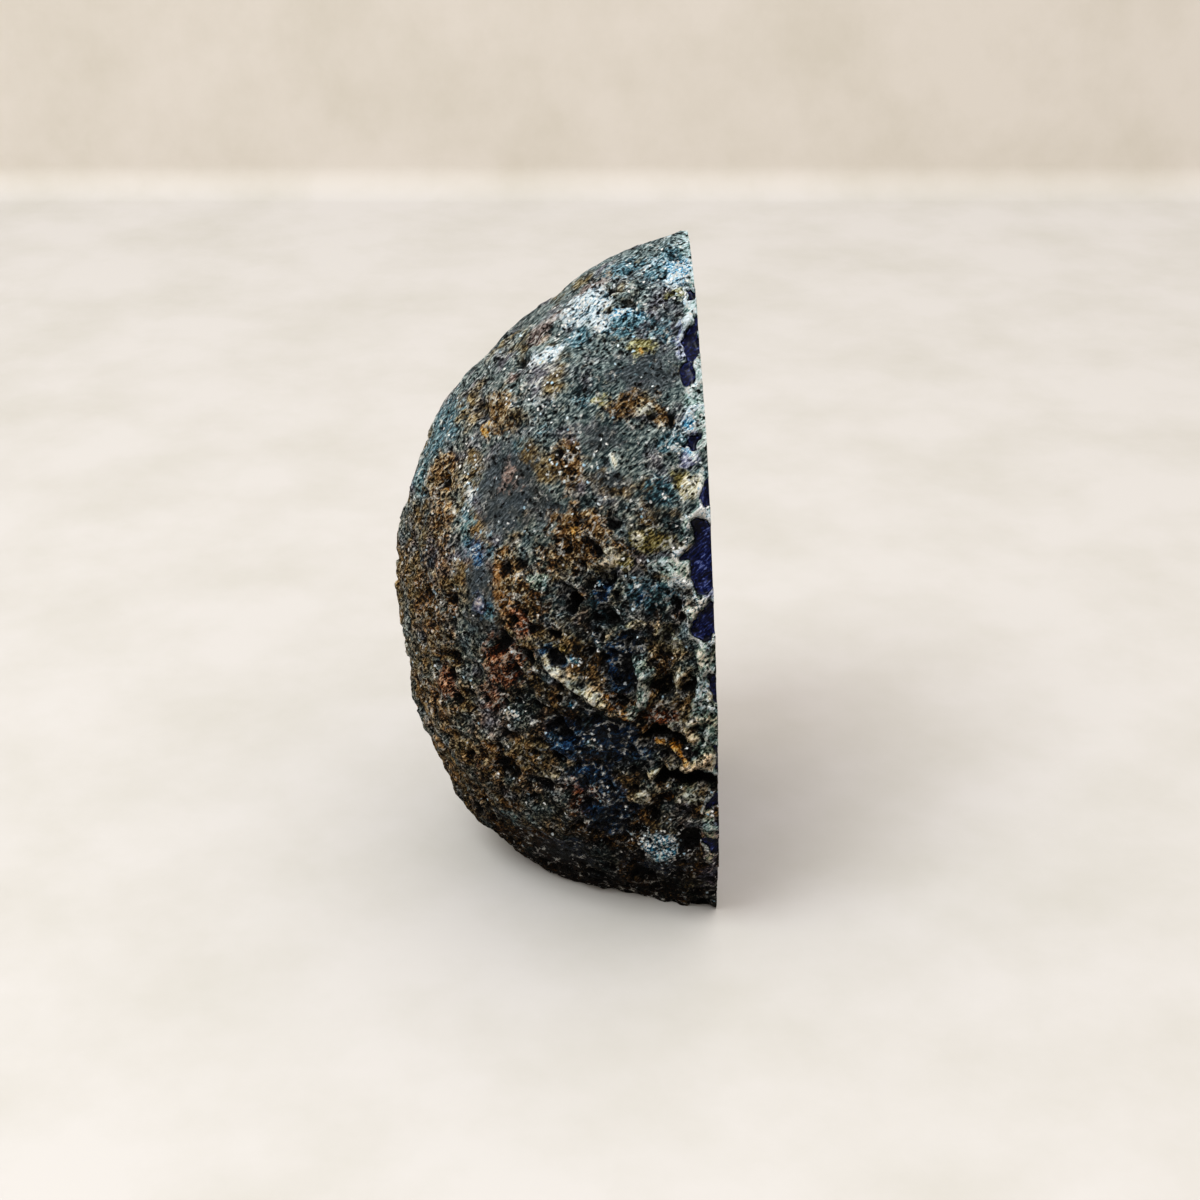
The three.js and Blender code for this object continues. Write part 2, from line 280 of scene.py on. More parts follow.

# %% [markdown]
# ## Markings of the rind
#
# The rind isn't one colour. Smooth slate-grey and steel-blue basalt still clings to it, and in the hollows
# it is nearly black (night). Iron has stained it rust, red, ochre, olive and rose. Chalcedony shows through
# as pale crusts: white and azure near the top, mint, cream and lilac along the rim. Marks of painted shade
# only darken, for the shade in caves, in dark bands and low on the stone, and dye is where the crust is gone
# and the dyed agate shows. The marks are laid out as soft-edged spots. Each is a place on the side of the
# stone, so far back from the cut and so far up, with a half-width and a half-height in millimetres along the
# surface. Noise then tears their outlines.

# %% Where the marks are
# back, up, half-width, half-height, strength
MARKS = {
    "steel": [
        (3.2, 116, 5, 4, 1.0), (11, 115, 6, 3, 0.8), (12.5, 109.4, 4, 2.4, 1.0), (7, 108.9, 3.4, 3, 0.5),
        (19.6, 106.6, 3.5, 2.4, 0.8), (45.1, 88, 6, 7, 0.75), (49, 80, 3.5, 3.5, 0.8),
        (40.9, 76, 1.6, 5, 0.6), (37.3, 73.4, 2.1, 3.1, 0.45), (38, 63.8, 2.8, 2.2, 0.7),
        (5.6, 93.9, 2.3, 1.5, 1.0), (8, 86.1, 3, 2.6, 0.8), (19.3, 67.8, 1.2, 3.5, 0.8),
        (10.8, 69.5, 4, 2.6, 1.0), (27.1, 58.1, 2.2, 1.7, 1.0), (16, 56.5, 2.8, 4.1, 0.8),
        (16.7, 26, 3.7, 7, 0.5), (36.8, 18.8, 3.6, 4, 0.5), (1.4, 88, 1, 2, 0.8),
        (18.6, 98.9, 4.2, 2.8, 0.5), (10.1, 103.6, 3.4, 2.4, 0.3), (30.7, 91.6, 2.4, 2.1, 0.5),
        (26, 94, 4, 3, 0.4),
    ],
    "slate": [
        (34, 84, 6, 6.6, 1.0), (39, 67, 3.6, 5.4, 0.8), (27, 82, 3.5, 4, 0.6), (15, 88, 4, 2.4, 0.6),
        (9, 103.4, 6, 4, 0.75), (16.5, 93.5, 5, 3.6, 0.6), (19, 42, 4, 3, 0.5), (30, 12, 8, 4, 0.5),
        (39, 61.7, 3.5, 3.3, 0.8),
    ],
    "night": [
        (19, 42.3, 9, 5, 0.8), (17, 29, 5, 5, 0.6), (15.7, 57.6, 3, 4.6, 1.0), (27, 57.5, 2.8, 2.4, 0.9),
        (9, 15, 6, 6, 0.5), (11.5, 69, 4, 2.6, 0.45), (22, 26, 8, 7, 0.4), (24.2, 41.6, 5.4, 4, 1.0),
        (22, 33.5, 4.4, 3.6, 0.9), (19.7, 26.8, 4.6, 5, 0.9), (18.7, 70, 1.6, 2, 0.8),
        (39.2, 64, 2.8, 2.6, 0.6), (39.6, 73, 2, 3.4, 0.5), (12, 12, 6, 4, 0.6), (28, 14, 8, 5, 0.5),
    ],
    "rust": [
        (33.9, 95, 4.5, 4, 0.7), (45.1, 83, 3.2, 5.5, 0.7), (46, 74, 2.6, 7, 0.65),
        (44.5, 63.4, 2.5, 2.2, 0.8), (22.8, 89.6, 2.2, 4, 0.85), (21.5, 78.6, 4.6, 5, 1.0),
        (27, 74.5, 3, 3, 0.6), (15.5, 77, 3.5, 2, 0.6), (12.1, 98.7, 4.7, 2.2, 0.75),
        (34.8, 72, 2.4, 3, 0.9), (34.2, 57.4, 3, 3.4, 0.7), (7.3, 97.4, 2.3, 1.7, 0.9),
        (32.4, 67, 4.6, 5, 1.0), (6.5, 66, 2.4, 1.4, 0.5), (10.6, 44.6, 3, 1.6, 0.8),
        (17, 50.3, 3, 1.4, 1.0), (14.6, 49.1, 6.4, 2.4, 0.9), (8.9, 60.1, 1.3, 6.4, 0.8),
        (39.4, 34.1, 4.4, 3.7, 0.6), (23.9, 28.4, 4, 5, 0.45), (26.4, 105.7, 2.6, 2.4, 0.6),
        (23, 67.8, 2.5, 2.1, 0.6), (48.9, 60, 4, 10, 0.6), (49, 41.4, 3.6, 5, 0.7),
        (32.6, 30.8, 8, 5, 0.4), (14, 114, 5, 2, 0.4), (3, 51, 2, 3.8, 0.5),
    ],
    "red": [
        (36.2, 54.6, 3.8, 4.4, 0.95), (46.6, 46.4, 2.4, 3.2, 0.8), (32.8, 62.8, 2.2, 2.4, 0.95),
        (10, 47.5, 3, 1.5, 0.9), (41, 32, 2.6, 2, 0.5), (24, 30, 2.4, 3, 0.6),
        (38.6, 46.6, 2.4, 2.6, 0.6),
    ],
    "rose": [
        (17, 112.2, 5, 2.4, 0.8), (26.3, 106.4, 4, 2.6, 0.85), (31, 100, 3, 2, 0.5),
        (23, 108.8, 2.6, 1.6, 0.6), (34, 86, 4, 4, 0.4), (47, 70, 2, 4, 0.4),
    ],
    "olive": [
        (10.1, 78.6, 2.9, 2.3, 0.9), (14.8, 74.8, 2, 1.4, 0.9), (4.6, 88.3, 1.6, 1.6, 0.8),
        (3.3, 113.2, 2.1, 1.4, 1.0), (15.3, 99.2, 3, 1.7, 0.6), (25.9, 59, 1.6, 1.4, 0.9),
        (9.8, 106.8, 2.4, 1.6, 0.9), (3.5, 47, 2, 4, 0.5), (18, 62, 2, 1.5, 0.5),
        (6.5, 31.5, 3, 1.6, 0.6), (5, 8.4, 3.4, 2.4, 0.8), (11.5, 78.9, 2, 1.5, 0.8),
        (7.6, 61.5, 2.4, 2, 0.6), (3.5, 36.8, 2.4, 1, 0.7),
    ],
    "mint": [
        (0, 117.8, 1.8, 2.4, 1.0), (28.6, 70.4, 2.2, 1.6, 0.9), (6, 74.2, 4, 2, 0.9),
        (15.2, 90.6, 1.3, 1.5, 0.9), (2, 99.6, 1.5, 4, 0.6), (2.2, 70, 1.6, 7, 0.6),
        (2, 58, 1.6, 7, 0.7), (2.5, 44, 2.2, 8, 0.8), (13, 49.4, 2, 1, 0.5), (1.5, 24, 1.2, 8, 0.7),
        (5, 31, 4, 1.8, 0.6),
    ],
    "cream": [
        (3, 87, 1.6, 1.8, 0.8), (20.4, 51.4, 2, 1.6, 0.8), (3.2, 38.3, 2.4, 1.2, 0.8),
        (4.9, 5.8, 2.4, 1.6, 0.8), (11.7, 79.3, 1.2, 1.1, 0.8), (30.2, 96.8, 0.8, 0.7, 0.9),
        (15, 90.5, 0.7, 1.3, 1.0), (26, 102.5, 1, 0.8, 0.9), (5, 47, 2, 4, 0.4),
        (17, 74.5, 1.8, 1.4, 0.6), (8.5, 53.5, 1.2, 1.6, 0.7), (4.9, 30.4, 2, 2, 0.6),
        (26.2, 54.6, 1.4, 0.9, 0.8), (9.4, 63.4, 1.4, 1.4, 1.0), (9.6, 54.6, 0.9, 1.2, 0.9),
        (4.6, 43.4, 1.3, 1, 1.0), (23.6, 54.4, 1.2, 1, 0.9), (16.8, 75.8, 1.6, 1.3, 0.8),
        (3.1, 5.9, 1.2, 1.2, 0.8), (22.4, 92.4, 1.2, 0.8, 0.7), (9.2, 98, 2, 0.9, 0.7),
        (18.5, 73.3, 1.8, 1.2, 0.7), (8.4, 61, 2.2, 2.2, 0.9), (6, 54.7, 1.6, 2, 0.9),
        (13.4, 31, 2, 1.3, 0.9), (25.3, 36.1, 1.6, 1.2, 0.5), (13, 42.3, 1.2, 0.8, 0.6),
        (28.9, 33, 1.4, 1, 0.5), (37.7, 33.7, 1.4, 1, 0.5),
    ],
    "ochre": [
        (37.5, 92, 1.9, 1.2, 1.0), (0.9, 35.3, 0.9, 1, 1.0), (9.2, 30.3, 1.2, 1, 1.0),
        (3.1, 38.5, 2, 1, 0.7), (18, 51.5, 1, 0.8, 0.9), (22.3, 79.3, 1.4, 1.6, 0.45),
        (44.8, 81.5, 1.2, 2, 0.5), (9.6, 106.2, 0.9, 0.6, 0.8),
    ],
    "white": [
        (18, 110.4, 4.4, 3.8, 1.0), (3.1, 115, 2, 2.4, 1.0), (6.1, 115.9, 3, 1.2, 0.65),
        (23.8, 104.6, 4, 2, 0.7), (15.8, 109.1, 2.3, 2, 0.7), (27.4, 102.7, 2.6, 2, 0.7),
        (26.1, 98.6, 3, 2.4, 0.4), (30.4, 96.5, 1.6, 1.4, 0.6), (40.3, 82, 1.1, 4, 0.5),
        (40.3, 86.5, 1.4, 1, 0.8), (10.5, 19, 3.2, 3.6, 0.9), (21.7, 41, 1.6, 1.1, 0.6),
        (35, 44.5, 1.5, 2, 0.5), (22, 89.5, 3, 2.6, 0.3), (0.6, 81.6, 1.3, 2.2, 0.8),
        (4.8, 71.6, 2, 1.4, 0.7),
    ],
    "azure": [
        (2.6, 96.6, 1.3, 1.6, 0.7), (3.6, 92.6, 1.5, 1.1, 0.6), (2.4, 115.6, 2, 2.6, 1.0),
        (11.5, 110.6, 3.4, 1.3, 0.8), (10.5, 19, 2.6, 2.8, 1.0), (23.5, 57.5, 1.1, 0.8, 0.8),
        (19.5, 70.7, 0.9, 0.7, 0.9), (20.3, 61.2, 0.5, 0.9, 0.9), (24.5, 49, 0.7, 1, 0.8),
        (48, 63, 1, 0.9, 0.6),
    ],
    # Painted shade: dark patches for the shade in caves, in dark bands and low on the stone.
    "painted_shade": [
        (22, 46, 12, 5, 0.9), (20, 38, 10, 5, 0.7), (18, 24, 15, 10, 0.6), (28, 8, 15, 7, 0.7),
        (13.9, 59, 2.8, 6.5, 1.0), (15.7, 43, 8, 2.4, 1.0), (8.5, 42, 4.5, 1.5, 1.0),
        (31.6, 48, 4, 4, 0.8), (23.8, 67.5, 2.4, 2.2, 1.0), (8.8, 86, 2.3, 1.5, 1.0),
        (6, 19.6, 3.2, 5, 1.0), (20.7, 62, 2.4, 3, 0.7), (46, 62, 6, 14, 0.15), (10, 8, 8, 4, 0.7),
        (9, 67, 1.7, 2.4, 0.8), (6.5, 81.5, 3, 1.8, 0.8), (4.9, 34, 5.6, 1.6, 1.0), (5, 109, 4, 3, 0.25),
        (17, 101, 5, 2, 0.3), (28, 68, 1.6, 2, 0.8), (5.8, 52.5, 1.6, 1.4, 1.0), (16.7, 38, 4, 1.8, 1.0),
        (3.7, 34, 2, 1.6, 1.0), (10.8, 80.5, 1.8, 1.2, 0.8), (22.6, 59.5, 2.6, 1.6, 0.9),
        (18.8, 68.2, 1.8, 2, 1.0), (27.8, 69.7, 1.6, 2, 0.9), (13.4, 36.6, 4, 1.8, 1.0),
        (21, 57.5, 2.6, 2, 1.0), (32, 48.3, 3, 2.4, 0.6), (4.6, 19.6, 3, 5, 0.5),
    ],
    "dye": [
        (1.5, 107.6, 1.2, 2.8, 1.1), (2.1, 103.6, 1.3, 2.6, 1.1), (2, 93.9, 2.2, 1.4, 1.0),
        (1.4, 75.8, 2.5, 5.2, 1.1), (1.4, 64.6, 2.3, 3, 1.1), (0.6, 29.4, 1.6, 2, 1.1),
        (1, 20.6, 2.2, 1.5, 1.1), (0.7, 113, 1.1, 1.4, 1.0), (0.5, 110, 0.9, 1.4, 0.9),
        (0.6, 53, 1.1, 3, 1.0), (0.5, 86, 1, 2.6, 0.9), (0.4, 39, 0.9, 3, 0.8), (0.5, 12, 0.9, 2.5, 0.8),
    ],
    "lilac": [
        (0.8, 70, 1.8, 2, 0.9), (1, 60, 1.4, 3, 0.6), (1.2, 22, 1.3, 8, 0.9), (1.4, 11, 1.6, 5, 0.9),
        (0.8, 84, 1.2, 3, 0.6), (1.8, 97, 1.6, 4.4, 0.8), (3, 108, 1.2, 3.4, 0.7),
        (2.6, 91.5, 1.8, 2.4, 0.7), (39.2, 64, 2.4, 2.2, 0.5), (1, 46, 1.4, 5, 0.5),
    ],
}
print(sum(map(len, MARKS.values())), "marks on each side of the stone")


# %% Soft-edged spots
def side_point(side, back, up):
    """The point of the smooth nodule on its -X side or its +X side that is so far back and so far up."""
    shares = (np.array([back, up]) - NODULE_MIDDLE[1:]) / NODULE_SEMI_AXES[1:]
    across = NODULE_SEMI_AXES[0] * math.sqrt(max(0, 1 - shares @ shares))
    return np.array([NODULE_MIDDLE[0] + side * across, back, up])


def spot(points, side, back, up, half_width, half_height):
    """1 in the middle of a spot, fading to 0 at about twice its half-size."""
    offset = points - side_point(side, back, up)
    along = offset[:, 1] / half_width
    across = np.hypot(offset[:, 0], offset[:, 2]) / half_height
    return np.exp(-0.7 * (along**2 + across**2))


near = spot(side_point(-1, 34, 50)[None], -1, 30, 50, 4, 4)
print("one half-width out, a spot has faded to", near.round(2))

# %% The masks
TURN_HEIGHT = 54.5  # mm: the far side wears the same kinds of marks, turned end for end about this height


def far_side(back, up):
    """Where a mark of the near side lies on the far side."""
    return back, 2 * TURN_HEIGHT - up


TEAR, DYE_TEAR = 1.1, 2.0  # mm that noise pulls the outlines of the marks about


def mask_of(points, kind):
    """How strongly one kind of mark shows at each point, from 0 to 1."""
    tear = DYE_TEAR if kind == "dye" else TEAR
    torn = pushed_about(points, tear, 2.6, (60, 65, 70), 3)
    mask = np.zeros(len(points))
    for back, up, half_width, half_height, strength in MARKS[kind]:
        for side, place in ((-1, (back, up)), (1, far_side(back, up))):
            mask = np.maximum(mask, strength * spot(torn, side, *place, half_width, half_height))
    if kind == "dye":
        mask = mask * (1 + 0.35 * noise(points, 2.2, 68) + 0.15 * noise(points, 1.1, 69))
    return mask


masks = {kind: mask_of(skin, kind) for kind in MARKS}
rim = np.exp(-((skin[:, 1] / 2.4) ** 2)) * smooth_step(skin[:, 2], 28, 40)
masks["mint"] = np.maximum(masks["mint"], rim * (0.65 + 0.5 * noise(skin, 3.5, 66)))
print({kind: round(float(mask.mean()), 3) for kind, mask in masks.items()})

# %% [markdown]
# Crust also runs along the stone in raised ridges, where agate filled cracks of the lava and stood its
# ground while the lava crumbled. A ridge is a path of places on the side of the stone.

# %% Ridges of crust
# Kind of mark, half-width, height, strength, and the path as (back, up).
RIDGES = [
    ("cream", 0.9, 1.1, 0.8, [(28.6, 57), (25.8, 54.3), (22.9, 52.1), (19.6, 49.8), (16.3, 48.3)]),
    ("ochre", 0.8, 1.0, 0.7, [
        (19.6, 49.8), (16.3, 48.3), (13.4, 46.4), (10.5, 43), (7.5, 41.3), (4.5, 38.3),
    ]),
    ("cream", 0.9, 0.5, 0.45, [(19.1, 60.9), (16.1, 63.3), (12.3, 64.9), (9, 65.7), (5.8, 64), (3.9, 61.9)]),
    ("mint", 1.0, 1.0, 0.9, [(12.6, 59), (11.5, 56.7), (12, 53.8), (12.2, 50.7), (14, 47.6)]),
    ("cream", 0.9, 0.9, 1.0, [(11.3, 35.4), (7.9, 36.7), (4.8, 37.8), (1.4, 39.5)]),
    ("rust", 1.2, 0.9, 0.8, [(46.6, 46.7), (46.4, 43.1), (45.1, 40.3)]),
    ("white", 0.7, 0.6, 0.9, [(5.6, 93.9), (4.4, 96.8), (2.4, 97.9), (0, 98.9)]),
    ("white", 0.7, 0.7, 0.9, [(7, 92.7), (3.5, 92.2), (2.2, 91), (1.4, 88), (1.2, 84.9), (2.3, 83.4)]),
    ("mint", 0.9, 0.7, 0.9, [(2.3, 83.4), (4, 81.8), (4.5, 78.7), (5.6, 75.5), (6.7, 73)]),
    ("mint", 1.1, 0.6, 0.9, [
        (4, 67.1), (2.6, 61.9), (2, 58.4), (2.8, 54.7), (1.5, 51), (2, 47.1), (3.1, 42.2),
    ]),
    ("mint", 1.6, 1.1, 0.8, [(4.5, 116.4), (2, 117.8), (0, 118.6)]),
    ("slate", 0.5, 0.5, 0.5, [(32.1, 38.9), (27, 38.6), (20.2, 34.7), (13.5, 29.9)]),
    ("slate", 0.5, 0.5, 0.5, [(27.4, 30), (22.3, 25.8), (17.2, 21)]),
]
print(len(RIDGES), "ridges on each side")


# %% Raise the ridges
def distance_to_path(points, path):
    """How far each point is from a path of straight stretches."""
    nearest = np.full(len(points), np.inf)
    for start, end in zip(path, path[1:]):
        along = np.clip((points - start) @ (end - start) / ((end - start) @ (end - start)), 0, 1)
        nearest = np.minimum(nearest, np.linalg.norm(points - start - along[:, None] * (end - start), axis=1))
    return nearest


def raise_ridges(points):
    """Adds the ridges to the marks, and returns how many millimetres they stand out."""
    torn = pushed_about(points, 0.8, 3.1, (90, 91, 92), 1)
    raised = np.zeros(len(points))
    for kind, half_width, height, strength, path in RIDGES:
        for side in (-1, 1):
            places = [place if side < 0 else far_side(*place) for place in path]
            away = distance_to_path(torn, [side_point(side, *place) for place in places])
            ridge = np.exp(-((away / half_width) ** 2)) * (1 + 0.5 * noise(points, 1.7, 93))
            masks[kind] = np.maximum(masks[kind], strength * np.clip(ridge, 0, 1))
            raised = np.maximum(raised, height * ridge)
    return raised


ridges = raise_ridges(skin)
print(f"ridges cover {np.mean(ridges > 0.2):.0%} of the rind")

# %% [markdown]
# ## Relief
#
# The rind is rough at every size: knobs of a centimetre, crusts of a few millimetres, gas pits the size of
# a pinhead and grains too fine to count. Three ways could make it. A displacement modifier is quick, but it
# can't follow the marks. Sculpting can't be repeated. So each point is moved by formula. Smooth noise makes
# the knobs. Pits need sharp walls, which smooth noise doesn't have, so they come from a cell pattern: seeds
# are scattered, one in each cell of a grid, and a pit fills the room round its seed up to the wall that it
# shares with the next one.

# %% Vugs
# Open holes: side, back, up, half-width, half-height, depth.
VUGS = [
    (-1, 6.4, 34.4, 6.2, 2.5, 3.8), (-1, 9.5, 43.7, 4, 1.5, 2.6),
    (-1, 5.2, 20.6, 2.4, 3.2, 1.8), (-1, 4.9, 54, 1.6, 1.6, 1.4),
    (-1, 24, 67.2, 1.5, 2.2, 2.6), (-1, 15.9, 56, 3.4, 4.6, 1.0), (-1, 27, 57.2, 2.6, 1.8, 1.5),
    (-1, 29.5, 19.4, 1.9, 1.1, 1.8), (-1, 33.8, 98, 1.5, 0.7, 1.8), (-1, 24, 7.5, 4, 0.9, 1.5),
    (-1, 15.6, 81.2, 1.8, 1.4, 0.9), (-1, 9.9, 86.7, 1.9, 1.0, 1.1), (-1, 19.5, 62, 1.2, 1.6, 1.0),
    (1, 22, 60, 4.2, 3, 2.6), (1, 9, 30, 3, 2, 2.4), (1, 42, 74, 3.4, 2.6, 2.4),
    (1, 20, 96, 3.6, 2.8, 2.5), (1, 48, 32, 2.8, 2, 2.2),
]


def vug_depth(points):
    """How deep each point lies in a vug. Noise makes the mouths ragged and the floors uneven."""
    ragged = 1 + 0.35 * noise(points, 2.2, 21) + 0.2 * noise(points, 1.1, 22)
    depth = np.zeros(len(points))
    for side, back, up, half_width, half_height, deep in VUGS:
        offset = points - side_point(side, back, up)
        across = np.hypot(offset[:, 0], offset[:, 2]) / half_height
        away = np.hypot(offset[:, 1] / half_width, across) * ragged
        depth = np.maximum(depth, deep * smooth_step(-away, -1.25, -0.6))
    return depth * (1 + 0.25 * noise(points, 1.4, 23))


vugs = vug_depth(skin)
print(f"deepest vug {vugs.max():.1f} mm")


# %% A pattern of cells
def cell_pattern(points, size, salt):
    """Distances to the nearest seed and to the next, in cells, and the nearest seed's own random number."""
    scaled = points @ TURN.T / size
    cell = np.floor(scaled).astype(np.int64)
    nearest = np.full(len(points), 9.0)
    second = nearest.copy()
    chance = np.zeros(len(points))
    for step in np.ndindex(3, 3, 3):
        home = cell + np.array(step) - 1
        seed = home + np.stack([lattice(home, salt + k) for k in range(3)], 1)
        away = np.linalg.norm(seed - scaled, axis=1)
        closer = away < nearest
        second = np.where(closer, nearest, np.minimum(second, away))
        chance = np.where(closer, lattice(home, salt + 3), chance)
        nearest = np.where(closer, away, nearest)
    return nearest, second, chance


print("a point of the skin is", np.round(cell_pattern(skin[:500], 5.5, 80)[0].mean(), 2), "cells from a seed")

# %% Pits
# Cell size, depth, and the share of cells that have a pit on the most porous stone.
PITS = [(5.5, 2.2, 0.35), (3.4, 1.6, 0.42), (2.1, 1.1, 0.6), (1.35, 0.55, 0.8)]


def pit_depth(points, porous):
    """Small gas pits, thicker where the stone is porous."""
    warped = pushed_about(points, 0.8, 2.4, (70, 71, 72), 2)
    depth = np.zeros(len(points))
    for number, (size, deep, share) in enumerate(PITS):
        nearest, second, chance = cell_pattern(warped, size, 80 + 5 * number)
        room = smooth_step(second - nearest, 0.06, 0.5) * smooth_step(porous * share - chance, -0.05, 0.15)
        depth = np.maximum(depth, deep * room)
    return depth


low_down = 1 - smooth_step(skin[:, 2], 55, 95)
porous = 0.1 + 0.45 * masks["rust"] + 0.42 * low_down - 0.9 * masks["slate"] + 0.35 * noise(skin, 9, 30)
porous = np.clip(porous, 0, 1) * (1 - masks["dye"])
pits = pit_depth(skin, porous)
print(f"{np.mean(pits > 0.2):.0%} of the rind is pitted")

# %% [markdown]
# Along the cut the crust has broken away here and there. The bare agate shows in the gaps, dyed deep
# indigo, smooth and lower than the crust, and a pale rim of crust stands round each gap.

# %% Push the skin in and out
bare = smooth_step(masks["dye"], 0.42, 0.52)
gap_rim = np.exp(-(((masks["dye"] - 0.3) / 0.12) ** 2)) * np.clip(0.6 + 1.2 * noise(skin, 2.8, 67), 0, 1)
masks["white"] = np.maximum(masks["white"], 0.7 * gap_rim)


FLOW = np.array([0, -0.7, 0.7])  # the lava's grain slants this way, so bumps are longer along it
CRUST_HEIGHTS = {"white": 0.4, "mint": 0.6, "cream": 0.7}  # mm
SUNK = 0.3  # mm that the rough skin is set back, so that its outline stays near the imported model's


def relief(points):
    """Millimetres that the rind stands out from the smooth nodule."""
    # Each noise has a height in millimetres before it. Its own numbers are its size and its seed.
    calm = (1 - 0.75 * masks["slate"]) * (1 - 0.85 * bare)
    knobs = 0.5 * layered_noise(points, 12, 31, 2)
    crusts = 0.5 * noise(points, 4.5, 34) + 0.35 * (1 - 2 * np.abs(noise(points, 2.8, 35)))
    slanting = points - 0.62 * (points @ FLOW)[:, None] * FLOW
    grains = 0.28 * noise(slanting, 1.4, 36) + 0.14 * noise(slanting, 0.85, 37)
    raised = sum(height * masks[kind] for kind, height in CRUST_HEIGHTS.items()) + 0.4 * gap_rim - 0.9 * bare
    crags = 1.1 * porous * (0.4 - np.abs(layered_noise(points, 8, 41, 2)))
    crumbly = (0.5 + 0.5 * porous) * crusts + (0.8 + 0.4 * porous) * grains
    return knobs + calm * crumbly + crags + raised - SUNK


height = relief(skin) + ridges - vugs - pits
rind_points = skin + directions * height[:, None]
print(f"relief from {height.min():.1f} to {height.max():.1f} mm")


# %% [markdown]
# Dents are painted dark, for dirt and for shade, and ridges are rubbed pale. How far each point stands above
# its surroundings tells the two apart: it is the height less the average height about it. Averaging each
# point with its neighbours, again and again, widens the surroundings a little each time.

# %% Dents and ridges
def surroundings(values, triangles, rounds):
    """The average of the values about each point of a mesh. More rounds reach further."""
    ends = triangles[:, [0, 1, 1, 2, 2, 0]].reshape(-1, 2)
    start, end = np.concatenate([ends, ends[:, ::-1]]).T
    count = np.bincount(start, minlength=len(values))
    for _ in range(rounds):
        values = (values + np.bincount(start, weights=values[end], minlength=len(values)) / count) / 2
    return values


ROUNDS = 24
# A wide hole is as low as its surroundings, so holes count a little extra, and get more painted shade.
stands_out = height - surroundings(height, ball_triangles, ROUNDS) - 0.4 * vugs - 0.15 * pits
spread = np.percentile(stands_out, [2, 25, 50, 75, 98])
print("a point stands out from its surroundings by", np.round(spread, 2), "mm")

# %% [markdown]
# ## Two saw cuts
#
# The ball's mesh is cut by two planes, as the stone was by a saw: the polished cut and the base it stands
# on. bmesh's bisect does that and keeps the marks, which ride along as numbers on the points. What stays
# open is filled by hand in the next step, so that the whole piece is one closed skin.

# %% Numbers on the points
MARK_NAMES = list(MARKS) + ["porous", "stands_out"]
marks = np.stack([masks[kind] for kind in MARKS] + [porous, stands_out], 1)
print("each point carries", len(MARK_NAMES), "numbers")


# %% Cut the rind
def mesh_from(name, points, triangles, number_names, numbers):
    """A mesh of triangles. Each of its points carries one number for each name."""
    mesh = bpy.data.meshes.new(name)
    mesh.vertices.add(len(points))
    mesh.vertices.foreach_set("co", np.ascontiguousarray(points, np.float32).ravel())
    mesh.loops.add(3 * len(triangles))
    mesh.loops.foreach_set("vertex_index", np.ascontiguousarray(triangles, np.int32).ravel())
    mesh.polygons.add(len(triangles))
    mesh.polygons.foreach_set("loop_start", np.arange(0, 3 * len(triangles), 3, dtype=np.int32))
    mesh.update(calc_edges=True)
    for column, number_name in enumerate(number_names):
        layer = mesh.attributes.new(number_name, "FLOAT", "POINT")
        layer.data.foreach_set("value", numbers[:, column].astype(np.float32))
    return mesh


def cut_by_saw(points, triangles, values):
    """The rind without what lies past the two cuts, as points, triangles and the numbers on the points."""
    mesh = mesh_from("uncut", points, triangles, MARK_NAMES, values)
    bm = bmesh.new()
    bm.from_mesh(mesh)
    for normal in ((0, 1, 0), (0, -math.sin(LEAN), math.cos(LEAN))):
        whole = bm.verts[:] + bm.edges[:] + bm.faces[:]
        bmesh.ops.bisect_plane(bm, geom=whole, dist=1e-4, plane_co=(0, 0, 0), plane_no=normal,
                               clear_inner=True)
    bmesh.ops.triangulate(bm, faces=bm.faces[:])
    bm.to_mesh(mesh)
    bm.free()
    points = np.empty(3 * len(mesh.vertices), np.float32)
    mesh.vertices.foreach_get("co", points)
    corners = np.empty(len(mesh.loops), np.int32)
    mesh.loops.foreach_get("vertex_index", corners)
    values = np.empty((len(MARK_NAMES), len(mesh.vertices)), np.float32)
    for column, name in enumerate(MARK_NAMES):
        mesh.attributes[name].data.foreach_get("value", values[column])
    bpy.data.meshes.remove(mesh)
    return points.reshape(-1, 3).astype(float), corners.reshape(-1, 3), values.T.astype(float)


rind_points, rind_triangles, rind_marks = cut_by_saw(rind_points, ball_triangles, marks)
print(f"rind after the cuts: {len(rind_triangles)} triangles")

# %% [markdown]
# ## The polished cut, the base and the hollow
#
# Both flats are built as rings. A ring of points runs just inside the rind's edge, the next ones lie nearer
# the hollow's mouth, and neighbours are sewn together. Sewing two rings with different numbers of points is
# a simple walk: whichever ring lags behind in angle gets the next triangle. Each point also keeps a number
# from 0 at the rind to 1 at the hollow. The agate's bands are drawn along it, because agate grew from the
# rind inward.

# %% Open edges
def open_loops(triangles):
    """The open edges of a mesh, as rings of point numbers in walking order."""
    ends = triangles[:, [0, 1, 1, 2, 2, 0]].reshape(-1, 2).astype(np.int64)
    size = ends.max() + 1
    key, back_key = ends[:, 0] * size + ends[:, 1], ends[:, 1] * size + ends[:, 0]
    after = dict(ends[~np.isin(key, back_key)].tolist())
    loops = []
    while after:
        start, current = next(iter(after.items()))
        loop = [start]
        del after[start]
        while current != start:
            loop.append(current)
            current = after.pop(current)
        loops.append(loop)
    return sorted(loops, key=len, reverse=True)


print("open edges of the rind:", [len(loop) for loop in open_loops(rind_triangles)])


# %% Sewing rings
def ways_round(angles, right, up):
    """Unit directions at the angles of a clock that lies in the flat of `right` and `up`."""
    return np.cos(angles)[:, None] * right + np.sin(angles)[:, None] * up


def angles_round(points, middle, right, up):
    """Each point's angle about a middle, in the flat of `right` and `up`, unrolled so that it rises."""
    offset = np.asarray(points) - middle
    return np.unwrap(np.arctan2(offset @ up, offset @ right))


